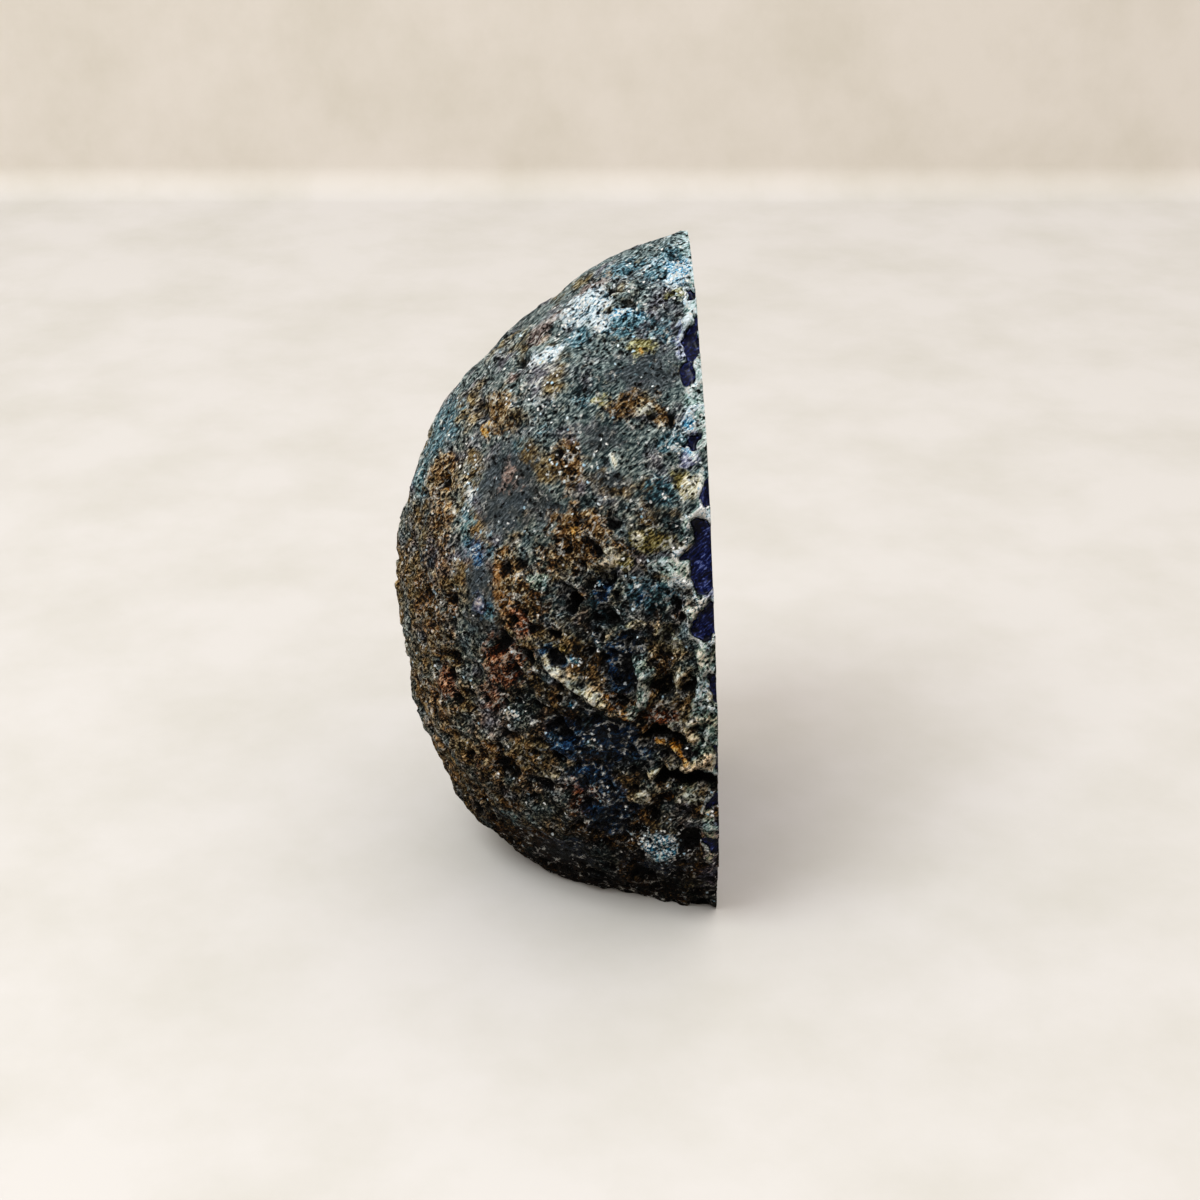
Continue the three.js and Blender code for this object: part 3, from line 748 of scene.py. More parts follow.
def sew(outer, inner, outer_angles, inner_angles):
    """Triangles between two rings of point numbers that run the same way round."""
    turns = np.round((outer_angles[0] - inner_angles[0]) / (2 * np.pi))
    inner_angles = inner_angles + 2 * np.pi * turns
    start = int(np.argmin(np.abs(inner_angles - outer_angles[0])))
    inner = np.roll(inner, -start)
    inner_angles = np.unwrap(np.roll(inner_angles, -start))
    way = 1 if outer_angles[-1] > outer_angles[0] else -1
    outer_angles = np.append(outer_angles, outer_angles[0] + way * 2 * np.pi) * way
    inner_angles = np.append(inner_angles, inner_angles[0] + way * 2 * np.pi) * way
    outer, inner = np.append(outer, outer[0]), np.append(inner, inner[0])
    i = j = 0
    sewn = []
    while i < len(outer) - 1 or j < len(inner) - 1:
        if j == len(inner) - 1 or (i < len(outer) - 1 and outer_angles[i + 1] <= inner_angles[j + 1]):
            sewn.append((outer[i + 1], outer[i], inner[j]))
            i += 1
        else:
            sewn.append((outer[i], inner[j], inner[j + 1]))
            j += 1
    return sewn


four, six = np.arange(4), np.arange(6)
sewn = sew(four, six, four * np.pi / 2, six * np.pi / 3)
print("rings of 4 and 6 points are sewn by", len(sewn), "triangles")

# %% Trace the two edges
def split_loop(loop, points):
    """The open edge as two runs of point numbers, round the cut and round the base. Both hold the corners."""
    on_cut = np.abs(points[loop][:, 1]) < 1e-3
    turn = next(k for k in range(len(loop)) if on_cut[k] and not on_cut[k - 1])
    loop, on_cut = np.roll(loop, -turn), np.roll(on_cut, -turn)
    last = len(loop) - 1 - int(np.argmax(on_cut[::-1]))
    return loop[: last + 1], np.append(loop[last:], loop[0])


loops = open_loops(rind_triangles)
cut_run, base_run = split_loop(np.array(loops[0]), rind_points)
print(f"{len(loops)} open edge(s); {len(cut_run)} points round the cut, {len(base_run)} round the base")


# %% [markdown]
# ## Filling the flats
#
# The rings are laid out from the hollow's middle, like the hours of a clock. At each angle the rind's edge
# is so far away and the hollow's mouth is so far away, and a ring is a blend of the two. The base has no
# hollow, so its rings shrink to a point.

# %% A place to gather the piece
KINDS = ["rind", "polished agate", "sawn base", "quartz"]
ALL_NAMES = MARK_NAMES + ["inset", "depth"]


class Stone:
    """Points, triangles and numbers of the whole piece, as they are added."""

    def __init__(self):
        self.points, self.marks, self.triangles, self.kinds = [], [], [], []
        self.count = 0

    def add_points(self, points, marks=None, **named):
        points = np.asarray(points, float)
        if marks is None:
            marks = np.zeros((len(points), len(MARK_NAMES)))
        extra = [np.broadcast_to(named.get(name, 0.0), len(points)) for name in ("inset", "depth")]
        self.points.append(points)
        self.marks.append(np.hstack([marks, np.stack(extra, 1)]))
        self.count += len(points)
        return np.arange(self.count - len(points), self.count)

    def add_triangles(self, triangles, kind):
        triangles = np.asarray(triangles).reshape(-1, 3)
        self.triangles.append(triangles)
        self.kinds.append(np.full(len(triangles), KINDS.index(kind)))

    def size(self):
        return f"{sum(map(len, self.triangles))} triangles"


stone = Stone()
stone.add_points(rind_points, rind_marks)
stone.add_triangles(rind_triangles, "rind")
for loop in loops[1:]:
    stone.add_triangles([(loop[0], loop[k + 1], loop[k]) for k in range(1, len(loop) - 1)], "rind")
print(stone.size(), "with the rind's small holes filled")

# %% A clock on the cut
ROUND = 300  # points in a ring
EDGE_ROOM = 0.7  # mm between the ragged edge and the first ring
ACROSS, BACK, UP = np.eye(3)
clock = np.linspace(0, 2 * np.pi, ROUND, endpoint=False)
spokes = ways_round(clock, ACROSS, UP)


def reach_of_edge(points, middle, right, up, clock):
    """How far a ragged edge is from a middle at each angle of the clock."""
    offset = points - middle
    angle = np.arctan2(offset @ up, offset @ right)
    order = np.argsort(angle)
    far = np.hypot(offset @ up, offset @ right)[order]
    reach = np.interp(np.mod(clock + np.pi, 2 * np.pi) - np.pi, angle[order], far, period=2 * np.pi)
    around = np.stack([np.roll(reach, k) for k in range(-3, 4)])
    return around.min(0) - EDGE_ROOM


def base_inset(points):
    """How far a place on the base is from the rind (0), on the scale that ends at the hollow (1)."""
    shell = np.linalg.norm((points - NODULE_MIDDLE) / NODULE_SEMI_AXES, axis=1)
    return np.clip(1.6 * (1 - shell), 0, 1)


def reach_of_rind(ways, middle):
    """How far the smooth nodule's surface is from a middle, had nothing been sawn off."""
    start, way = (middle - NODULE_MIDDLE) / NODULE_SEMI_AXES, ways / NODULE_SEMI_AXES
    a, b, c = (way**2).sum(1), way @ start, start @ start - 1
    return (np.sqrt(b**2 - a * c) - b) / a


print("spokes of the clock:", len(spokes))

# %% The edge of the cut
corner_a, corner_b = cut_run[-1], cut_run[0]
FRONT_STEPS = 60
shares = np.linspace(0, 1, FRONT_STEPS + 2)[1:-1, None]
front_points = rind_points[corner_a] * (1 - shares) + rind_points[corner_b] * shares
front_line = stone.add_points(front_points, inset=base_inset(front_points))
cut_edge = np.concatenate([cut_run, front_line])
base_edge = np.concatenate([base_run, front_line[::-1]])

all_points = np.concatenate(stone.points)
edge_reach = reach_of_edge(all_points[cut_edge], HOLLOW_MIDDLE, ACROSS, UP, clock)
mouth_reach = distance_to_surface(spokes, HOLLOW_SEMI_AXES, HOLLOW_LUMPS)
agate_width = edge_reach - mouth_reach
print("agate between rind and hollow:", np.round([agate_width.min(), agate_width.max()], 1), "mm")

# %% Rings on the polished cut
CUT_RINGS = (0.05, 0.2, 0.45, 0.7, 0.88, 1.0)
BLUR, BLUR_REACH = 8, 18  # points of a ring over which its nicks are smoothed, and the furthest that count


def sew_flat(edge, rings, middle, right, up, kind):
    """Sews a ragged edge to the first ring, and each ring to the next."""
    points = np.concatenate(stone.points)
    outer = np.asarray(edge)
    for inner in rings:
        angles = [angles_round(points[ring], middle, right, up) for ring in (outer, inner)]
        if (angles[0][-1] > angles[0][0]) != (angles[1][-1] > angles[1][0]):
            inner = inner[::-1]
            angles[1] = angles_round(points[inner], middle, right, up)
        stone.add_triangles(sew(outer, inner, *angles), kind)
        outer = inner
    return outer


# Past the outermost ring the bands forget the small nicks of the rind, as real ones do.
steps = range(-BLUR_REACH, BLUR_REACH + 1)
weights = np.exp(-((np.array(steps) / BLUR) ** 2))
smooth_reach = sum(w * np.roll(edge_reach, k) for k, w in zip(steps, weights / weights.sum()))
# The base's saw cut straight through the bands, so under the hollow they run on past it.
edge_height = (HOLLOW_MIDDLE + spokes * edge_reach[:, None])[:, 2]
by_the_base = 1 - smooth_step(edge_height, 1, 6)
sawn_off = by_the_base * np.maximum(reach_of_rind(spokes, HOLLOW_MIDDLE) - edge_reach, 0)
cut_rings = []
for share in CUT_RINGS:
    outside = edge_reach if share < 0.1 else smooth_reach
    reach = outside * (1 - share) + mouth_reach * share
    inset = 1 - (reach - mouth_reach) / (outside + sawn_off - mouth_reach)
    cut_rings.append(stone.add_points(HOLLOW_MIDDLE + spokes * reach[:, None], inset=inset))
sew_flat(cut_edge, cut_rings, HOLLOW_MIDDLE, ACROSS, UP, "polished agate")
print(stone.size(), "with the cut filled")

# %% Rings on the sawn base
BASE_RINGS = (1.0, 0.85, 0.6, 0.3)
BASE_BACK = np.array([0, math.cos(LEAN), math.sin(LEAN)])  # runs back along the base
base_depth = np.ptp(rind_points[base_run] @ BASE_BACK)
base_middle = (rind_points[corner_a] + rind_points[corner_b]) / 2 + 0.4 * BASE_BACK * base_depth
base_spokes = ways_round(clock, ACROSS, BASE_BACK)
base_reach = reach_of_edge(np.concatenate(stone.points)[base_edge], base_middle, ACROSS, BASE_BACK, clock)
base_rings = []
for share in BASE_RINGS:
    ring = base_middle + base_spokes * (share * base_reach)[:, None]
    base_rings.append(stone.add_points(ring, inset=base_inset(ring)))
last = sew_flat(base_edge, base_rings, base_middle, ACROSS, BASE_BACK, "sawn base")
centre = stone.add_points([base_middle], inset=base_inset(base_middle[None]))[0]
stone.add_triangles([(last[k - 1], centre, last[k]) for k in range(len(last))], "sawn base")
print(stone.size(), "with both flats filled")

# %% The hollow's wall
WALL_RINGS = 14


def hollow_wall(angles, slants):
    """Points of the wall at angles round the mouth and slants from the mouth (0) back (a quarter turn)."""
    away = ways_round(angles, ACROSS, UP) * np.cos(slants)[:, None] + BACK * np.sin(slants)[:, None]
    return HOLLOW_MIDDLE + away * distance_to_surface(away, HOLLOW_SEMI_AXES, HOLLOW_LUMPS)[:, None]


ring = cut_rings[-1]
for step in range(1, WALL_RINGS + 1):
    slant = np.full(ROUND, step / (WALL_RINGS + 1) * np.pi / 2)
    wall = hollow_wall(clock, slant)
    wall = wall + 0.5 * BACK * noise(wall, 3, 51)[:, None]
    inner = stone.add_points(wall, inset=1.0, depth=0.1)
    for k in range(ROUND):
        square = ring[k - 1], ring[k], inner[k], inner[k - 1]
        stone.add_triangles([square[:3], (square[0], square[2], square[3])], "quartz")
    ring = inner
back_wall = stone.add_points(hollow_wall(np.zeros(1), np.full(1, np.pi / 2)), inset=1.0, depth=0.1)[0]
stone.add_triangles([(ring[k - 1], ring[k], back_wall) for k in range(ROUND)], "quartz")
print(f"the hollow is {HOLLOW_SEMI_AXES[1]} mm deep")

# %% [markdown]
# ## Quartz points
#
# Quartz grows as six-sided columns that end in six-sided points. On a druse hundreds of them crowd
# together, and only the points and a little of the columns stand free. The golden angle spreads them evenly
# over the wall, big ones first and small ones between. Each leans a little its own way, and its point sits
# a little off its middle, so no two catch the light alike. The saw cut off whatever stood past the cut.

# %% One quartz point
BURIED = 3.0  # mm of each column that are sunk in the wall
# From and to, in radii: each edge's distance from the axis, the column's length, and the tip's height.
EDGES, COLUMN, TIP = (0.86, 1.1), (0.3, 1.3), (1.0, 1.5)
UNEVEN = (-0.25, 0.25)  # radii that a shoulder is up or down, and the tip to a side


def quartz_point(rng, foot, axis, radius):
    """The 14 corners of one quartz point: a foot ring, a shoulder ring, the foot's middle and the tip."""
    side = np.cross(axis, [0.3, 0.5, 0.8])
    side /= np.linalg.norm(side)
    other = np.cross(axis, side)
    turn = rng.uniform(0, np.pi / 3) + np.arange(6) * np.pi / 3
    reach = radius * rng.uniform(*EDGES, 6)
    star = (np.cos(turn) * reach)[:, None] * side + (np.sin(turn) * reach)[:, None] * other
    column = radius * rng.uniform(*COLUMN)
    slant = radius * rng.uniform(*UNEVEN, 6)
    shoulder = foot + star + axis * (column + slant)[:, None]
    tip = foot + axis * (column + radius * rng.uniform(*TIP))
    tip = tip + radius * (rng.uniform(*UNEVEN) * side + rng.uniform(*UNEVEN) * other)
    below = foot - axis * BURIED
    return np.vstack([below + star, shoulder, below, tip])


AROUND = np.arange(6)
NEXT = (AROUND + 1) % 6
POINT_FACES = np.concatenate([
    np.stack([AROUND, NEXT, NEXT + 6], 1), np.stack([AROUND, NEXT + 6, AROUND + 6], 1),
    np.stack([AROUND + 6, NEXT + 6, np.full(6, 13)], 1), np.stack([NEXT, AROUND, np.full(6, 12)], 1),
])
print("a quartz point has", len(POINT_FACES), "faces")

# %% Grow the points
# How many, radius from and to, in millimetres.
CROPS = [(90, 2.1, 3.4), (260, 1.3, 2.1), (480, 0.7, 1.3)]
CROP_TURN = 1.7  # radians between the first points of one crop and the next
LEAN_OF_POINTS = (-0.28, 0.28)
SAW_ROOM = 0.12  # mm that the cut points stand back from the polished face
GOLDEN_ANGLE = math.pi * (3 - math.sqrt(5))
# The material's depth: 0 at the foot, 1 at the tip, and the shoulders between.
POINT_DEPTH = np.concatenate([np.zeros(6), np.full(6, 0.45), [0, 1]])


def grow_points():
    rng = np.random.default_rng(11)
    for crop, (count, least, most) in enumerate(CROPS):
        for index in range(count):
            share = 1 - (index + rng.uniform(0.1, 0.9)) / count
            angle = np.array([index * GOLDEN_ANGLE + CROP_TURN * crop])
            slant = np.arcsin([share])
            foot = hollow_wall(angle, slant)[0]
            axis = -(foot - HOLLOW_MIDDLE) / HOLLOW_SEMI_AXES**2
            axis = axis / np.linalg.norm(axis) + rng.uniform(*LEAN_OF_POINTS, 3)
            axis /= np.linalg.norm(axis)
            radius = rng.uniform(least, most) * (0.75 + 0.25 * share)
            points = quartz_point(rng, foot, axis, radius)
            points[:, 1] = np.maximum(points[:, 1], SAW_ROOM)
            numbers = stone.add_points(points, inset=1.0, depth=POINT_DEPTH)
            stone.add_triangles(numbers[POINT_FACES], "quartz")


grow_points()
print(sum(crop[0] for crop in CROPS), "quartz points;", stone.size(), "in all")

# %% [markdown]
# ## One piece
#
# Rind, agate and quartz grew as one stone, so they are one object with four finishes. It is turned back by
# the cut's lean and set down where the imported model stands.

# %% Put the stone together
def to_row_frame(points):
    """From the stone's own frame, in millimetres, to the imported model's frame, in metres."""
    low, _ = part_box("geode_half")
    x, y, z = points.T
    sine, cosine = math.sin(LEAN), math.cos(LEAN)
    leaning = np.stack([x, y * cosine + z * sine, z * cosine - y * sine], 1)
    smooth = nodule_surface(ball)
    skin_x = smooth[near_stone(smooth, 0)][:, 0]
    shift_x = -(skin_x.min() + skin_x.max()) / 2
    return (leaning + [shift_x, low.y / MM, 0]) * MM


def build_stone():
    points, triangles, marks, kinds = map(
        np.concatenate, (stone.points, stone.triangles, stone.marks, stone.kinds)
    )
    mesh = mesh_from("geode", to_row_frame(points), triangles, ALL_NAMES, marks)
    mesh.polygons.foreach_set("material_index", kinds.astype(np.int32))
    mesh.polygons.foreach_set("use_smooth", kinds == KINDS.index("rind"))
    bm = bmesh.new()
    bm.from_mesh(mesh)
    bmesh.ops.recalc_face_normals(bm, faces=bm.faces[:])
    open_edges = sum(edge.is_boundary for edge in bm.edges)
    bm.to_mesh(mesh)
    bm.free()
    piece = bpy.data.objects.new("geode", mesh)
    scene.collection.objects.link(piece)
    return piece, open_edges


geode, open_edges = build_stone()
print(f"one piece, {len(geode.data.polygons)} triangles, {open_edges} open edges, "
      f"size {[round(side / MM, 1) for side in geode.dimensions]} mm")

# %% [markdown]
# ## Finishes
#
# Colours are written as sRGB hex, as a colour picker shows them, and one function turns them to linear.
# Pattern sizes are in millimetres. One function adds a node with its settings and its links.

# %% Node tools
def linear(code, alpha=1.0):
    """An sRGB hex colour as linear red, green, blue and alpha."""
    parts = [int(code[k : k + 2], 16) / 255 for k in (1, 3, 5)]
    return (*[p / 12.92 if p <= 0.04045 else ((p + 0.055) / 1.055) ** 2.4 for p in parts], alpha)


def per_mm(size):
    """A texture scale that makes its cells or lumps `size` millimetres wide."""
    return 1 / (size * MM)


def add_node(tree, kind, inputs=None, stops=None, **settings):
    """A node, with its settings made and its inputs linked or set. Stops are a ramp's places and colours."""
    node = tree.nodes.new(kind)
    for name, value in settings.items():
        setattr(node, name, value)
    for name, value in (inputs or {}).items():
        if isinstance(value, bpy.types.NodeSocket):
            tree.links.new(value, node.inputs[name])
        else:
            node.inputs[name].default_value = value
    if stops:
        ramp = node.color_ramp
        while len(ramp.elements) < len(stops):
            ramp.elements.new(1.0)
        for element, (place, code) in zip(ramp.elements, stops):
            element.position = place
            element.color = linear(code)
    return node


print("mid grey, as linear light:", round(linear("#808080")[0], 3))


# %% A new material
def new_material(name):
    """A material with an empty tree but for the Principled shader, and the stone's own coordinates."""
    material = bpy.data.materials.new(name)
    material.use_nodes = True
    tree = material.node_tree
    tree.nodes.clear()
    shader = add_node(tree, "ShaderNodeBsdfPrincipled")
    add_node(tree, "ShaderNodeOutputMaterial", {"Surface": shader.outputs[0]})
    place = add_node(tree, "ShaderNodeTexCoord").outputs["Object"]
    return material, tree, shader, place


print("materials before the stone's own:", [material.name for material in bpy.data.materials])

# %% [markdown]
# ### The rind
#
# Weathered basalt skin with iron stains and chalcedony crusts. It is matt and granular, so nothing on it
# reflects clearly. What the eye sees is light and shade on grains, black pores, thin pale threads of
# chalcedony and a few crystals that flash. The pores and dents are painted dark, for their shade, and some
# crystals are painted white, for glints. Tone and colour are kept apart. Tone changes from grain to grain
# and runs from dents to the tops of grains. Colour changes slowly, from stain to stain. Each stain has its
# own ramp from dent to grain.

# %% Sums and coats
def weighted_sum(tree, start, parts):
    """A starting number plus each value times its weight. A weight may be a value too."""
    for value, weight in parts:
        start = add_node(tree, "ShaderNodeMath", {0: value, 1: weight, 2: start},
                         operation="MULTIPLY_ADD").outputs[0]
    return start


# A Mix node's sockets: numbers go into 2 and 3, colours into 6 and 7, and a mixed colour leaves by 2.
FACTOR, NUMBER_A, NUMBER_B, COLOUR_A, COLOUR_B, COLOUR_OUT = 0, 2, 3, 6, 7, 2


def coats_over(tree, ground, coats):
    """Coats of colour over a ground, one by one. Each has a share, a colour and a way to blend."""
    for share, coat, way in coats:
        ground = add_node(tree, "ShaderNodeMix", {FACTOR: share, COLOUR_A: ground, COLOUR_B: coat},
                          data_type="RGBA", blend_type=way).outputs[COLOUR_OUT]
    return ground


print("white is", linear("#ffffff"), "and a size of 1 mm is a scale of", per_mm(1))

# %% Noises and cells of the rind
# Size in millimetres, detail, roughness, and how many times as long as wide.
NOISES = {
    "grains": (0.36, 3.0, 0.6, 3.0),  # grains of the basalt
    "lumps": (1.8, 6.0, 0.7, 1.7),  # crumbs, which also tear the edges of the stains
    "blotches": (8.0, 4.0, 0.6, 1.0),  # greener, browner and plum-grey ground
    "tints": (2.8, 2.0, 0.5, 1.3),  # warmer and cooler spots within each stain
}
GRAIN_SLOPE = math.radians(45)  # lava flowed past, so its grains lie aslant
CELL = 0.62  # mm: pores and single crystals, drawn a little larger than life so that they show
THREAD_GAP = 2.3  # mm between threads
# Cell patterns: the noise that pushes them about, by how many millimetres, their size, and what they measure.
CELLS = {
    "cells": ("grains", 0.9, CELL, "F1"),
    "walls": ("grains", 0.9, CELL, "DISTANCE_TO_EDGE"),
    "cracks": ("lumps", 3.5, THREAD_GAP, "DISTANCE_TO_EDGE"),
}
print("noises, mm:", {name: size for name, (size, *_) in NOISES.items()})


# %% Fields
def rind_fields(tree, place):
    """The noises, cells and painted masks that the whole rind is made from, by name."""
    fields, colours = {}, {}
    for name, (size, detail, roughness, length) in NOISES.items():
        slanting = add_node(tree, "ShaderNodeMapping", {
            "Vector": place, "Rotation": (GRAIN_SLOPE, 0, 0), "Scale": (1, 1, length),
        }, vector_type="TEXTURE").outputs[0]
        node = add_node(tree, "ShaderNodeTexNoise", {
            "Vector": slanting, "Scale": per_mm(size), "Detail": detail, "Roughness": roughness,
        })
        fields[name], colours[name] = node.outputs["Fac"], node.outputs["Color"]
    patterns = {}
    for name, (pusher, distance, size, measure) in CELLS.items():
        pushed = add_node(tree, "ShaderNodeVectorMath", {
            0: colours[pusher], 1: (distance * MM,) * 3, 2: place,
        }, operation="MULTIPLY_ADD").outputs[0]
        patterns[name] = add_node(tree, "ShaderNodeTexVoronoi", {
            "Vector": pushed, "Scale": per_mm(size),
        }, feature=measure).outputs
        fields[name] = patterns[name]["Distance"]
    luck = add_node(tree, "ShaderNodeSeparateColor", {"Color": patterns["cells"]["Color"]}).outputs
    fields["luck"], fields["hue"], fields["flash"] = luck
    _, fields["plums"], _ = add_node(tree, "ShaderNodeSeparateColor", {"Color": colours["blotches"]}).outputs
    for name in ALL_NAMES:
        fields[name] = add_node(tree, "ShaderNodeAttribute", attribute_name=name).outputs["Fac"]
    _, fields["back"], fields["up"] = add_node(tree, "ShaderNodeSeparateXYZ", {"Vector": place}).outputs
    return fields


print("painted masks:", len(ALL_NAMES))

# %% [markdown]
# All other fields follow from these by one recipe: a starting number, plus other fields by their weights, and
# then, for most, a straight slope that is 0 at one number and 1 at another. A weight may be a field too. Then
# the two are multiplied, so {"room": "open"} is the room in a cell where the cell is open.

# %% Recipes for crystals, pores and threads
# Name, starting number, weights by field, and the slope's start, end and, if it isn't 1, its top.
PLACES = [
    # Painted light on the back side, for light from the left; the brown cover also uses it to brown the back.
    ("lit_back", 0.0, {"back": 1.0}, (-0.005, 0.025)),
    # Painted shade by the foot, where the stone meets the floor.
    ("foot", 0.0, {"up": 1.0}, (0.022, 0.0)),
    ("lift", 0.0, {"up": 1.0}, (0.0, 0.12)),
    # Painted light: the top of the stone is painted lighter, as light from above falls on it.
    ("lit_top", 0.0, {"up": 1.0}, (0.09, 0.12)),
]
SMALL_THINGS = [
    # Cells that hold a single bright crystal, its white partly a painted glint: many on the white marks, few
    # elsewhere.
    ("chosen", -0.035, {
        "flash": 1.0, "white": -0.6, "azure": -0.6, "rust": 0.03, "slate": 0.022, "painted_shade": 0.024, "foot": 0.02,
    }, (0.01, -0.01)),
    ("middle", 0.0, {"cells": 1.0}, (0.5, 0.36)),
    ("crystal_and_glint", 0.0, {"chosen": "middle"}, None),
    # Cells that are open pores: nearly all on porous stone, and a few elsewhere.
    ("open", -0.12, {"luck": 1.0, "porous": -0.75, "chosen": 1.0}, (0.06, -0.06)),
    ("room", 0.0, {"walls": 1.0}, (0.04, 0.2)),
    ("pore", 0.0, {"room": "open"}, None),
    # Thin pale lines in cracks, broken up so that they come in tufts.
    ("tuft", 0.0, {"lumps": 1.0, "white": 0.06, "rust": 0.05, "painted_shade": 0.02, "slate": -0.05}, (0.53, 0.6)),
    ("line", 0.0, {"cracks": 1.0}, (0.08, 0.03)),
    ("thread", 0.0, {"line": "tuft"}, None),
]
print(len(PLACES) + len(SMALL_THINGS), "recipes")

# %% Colours of the rind
# Ramps of the bare grounds, from dents to grains.
GROUNDS = {
    "green": [
        (0.26, "#03080a"), (0.38, "#18262a"), (0.48, "#485555"), (0.58, "#7f8985"), (0.7, "#c1c8c2"),
        (0.84, "#f8faf6"),
    ],
    "plum": [
        (0.26, "#060507"), (0.38, "#232126"), (0.48, "#504c52"), (0.58, "#858085"), (0.7, "#c4bec0"),
        (0.84, "#f7f3f2"),
    ],
    "brown": [
        (0.26, "#060402"), (0.38, "#281d10"), (0.48, "#59462a"), (0.58, "#917b53"), (0.7, "#cfbc94"),
        (0.84, "#f8efdc"),
    ],
}
# Ramps from dents to grains, in the order in which the stains lie over each other.
STAINS = {
    "slate": [(0.28, "#090d0f"), (0.42, "#1e2426"), (0.52, "#3a4043"), (0.64, "#6a7073"), (0.8, "#b8bec0")],
    "steel": [(0.28, "#04090d"), (0.4, "#122a34"), (0.49, "#355863"), (0.59, "#6c949f"), (0.72, "#c6dee4")],
    "night": [(0.28, "#010205"), (0.4, "#06172c"), (0.5, "#153860"), (0.6, "#44749c"), (0.74, "#cfe0ea")],
    "rust": [(0.3, "#080401"), (0.4, "#2b190a"), (0.48, "#5c3e1c"), (0.57, "#906d42"), (0.68, "#dac49c")],
    "red": [(0.3, "#0a0302"), (0.4, "#2e140a"), (0.48, "#613019"), (0.57, "#99603f"), (0.68, "#dcb698")],
    "rose": [(0.28, "#0a0606"), (0.4, "#2f2320"), (0.49, "#67524b"), (0.59, "#a58d83"), (0.7, "#e0d0c7")],
    "olive": [(0.3, "#080602"), (0.4, "#2d270f"), (0.48, "#625729"), (0.57, "#9d925c"), (0.68, "#e0d8ae")],
    "ochre": [(0.28, "#1c0f02"), (0.4, "#7a4a0c"), (0.5, "#c4862a"), (0.64, "#f6d894")],
    "lilac": [(0.3, "#0a0b14"), (0.4, "#383b54"), (0.47, "#6e7290"), (0.55, "#a9adc8"), (0.66, "#eff0fa")],
    "mint": [(0.3, "#0c1613"), (0.39, "#4d6a63"), (0.46, "#93b1a8"), (0.54, "#cadcd6"), (0.64, "#fafffc")],
    "cream": [(0.3, "#14100a"), (0.39, "#6d6241"), (0.46, "#b3a980"), (0.54, "#ded6b6"), (0.64, "#fffae8")],
    "white": [(0.34, "#091318"), (0.42, "#1e3c4a"), (0.475, "#5c8496"), (0.53, "#cbe1ea"), (0.58, "#ffffff")],
    "azure": [(0.34, "#031018"), (0.42, "#0c4462"), (0.49, "#2b88b6"), (0.56, "#80cae8"), (0.65, "#f0fbff")],
}
# How rough each cover makes the stone. Rind without a stain has 0.85.
ROUGHNESS = {
    "slate cover": 0.6, "steel cover": 0.5, "night cover": 0.4, "rust cover": 0.8, "red cover": 0.8,
    "rose cover": 0.7, "olive cover": 0.7, "ochre cover": 0.6, "lilac cover": 0.5, "mint cover": 0.4,
    "cream cover": 0.5, "white cover": 0.35, "azure cover": 0.25, "bare": 0.15,
}
DYED = [(0.3, "#02030c"), (0.46, "#060924"), (0.58, "#131c4a"), (0.72, "#515d8c")]
# Painted tints of light and shade by height: warmer in the shade below, cooler in the light above.
LIGHT_TINTS_BY_HEIGHT = [(0.1, "#f2e6d8"), (0.5, "#fcf8f2"), (0.75, "#f8fcff"), (1.0, "#e2f3ff")]
WARM_TO_COOL = [(0.36, "#ffd4a6"), (0.47, "#fff4e6"), (0.53, "#eef6ff"), (0.64, "#aed8ff")]
# White specks of crystals, partly painted glints.
CRYSTAL_AND_GLINT_TINTS = [(0.0, "#a9d2ea"), (0.3, "#e6f2f8"), (0.6, "#ffffff"), (1.0, "#f8f8f4")]
THREAD_TONE = [(0.0, "#e6e6e0"), (1.0, "#e6e6e0")]
# Painted shade and dirt in dents and pores: near black.
DIRT_AND_SHADE_TONE = [(0.0, "#030303"), (1.0, "#030303")]
print(len(GROUNDS), "grounds and", len(STAINS), "stains")

# %% Recipes for tone and covers
TONES = [
    # From 0 in a dent to 1 on a grain. Slate is the calmest, and the painted shade is the darkest. Dents,
    # pores and the foot are painted darker for their shade, and the top and the back lighter for the light.
    ("contrast", 1.2, {"slate": -0.75}, None),
    ("away", -0.5, {"grains": 1.0}, None),
    ("tone", 0.376, {
        "away": "contrast", "lumps": 0.23, "stands_out": 0.16, "lit_back": 0.07, "pore": -0.2, "thread": 0.1,
        "painted_shade": -0.19, "foot": -0.2, "lit_top": 0.06, "cream": 0.1, "white": 0.03,
    }, None),
]
COVERS = [
    ("all", 1.0, {}, None),
    ("plum", 0.0, {"plums": 1.0}, (0.5, 0.64)),
    ("brown", 0.08, {"blotches": 1.0, "lit_back": 0.05, "lift": -0.14}, (0.5, 0.62)),
    *[(kind + " cover", -0.85, {kind: 1.0, "lumps": 1.7}, (0.3, 0.52)) for kind in STAINS],
    ("lower", 0.0, {"lift": 1.0}, (0.8, 0.55, 0.5)),
    ("threads", 0.0, {"thread": 0.8}, None),
    # Painted shade and dirt in dents and pores.
    ("dent", 0.0, {"stands_out": 1.0}, (-0.2, -0.9, 0.95)),
    ("hole", 0.0, {"pore": 0.8}, None),
    ("bare", 0.0, {"dye": 1.0}, (0.42, 0.48)),
]
# Heights for the bumps. Bare agate has none.
BUMPS = [
    ("crust", 0.0, {"dye": 1.0}, (0.48, 0.4)),
    ("crumbs", 0.0, {"lumps": 1.0, "pore": -0.25}, None),
    ("coarse", 0.0, {"crumbs": "crust"}, None),
    ("grown", 0.0, {"tone": 1.0, "crystal_and_glint": 0.2}, None),
    ("fine", 0.0, {"grown": "crust"}, None),
]
print(len(COVERS), "covers")


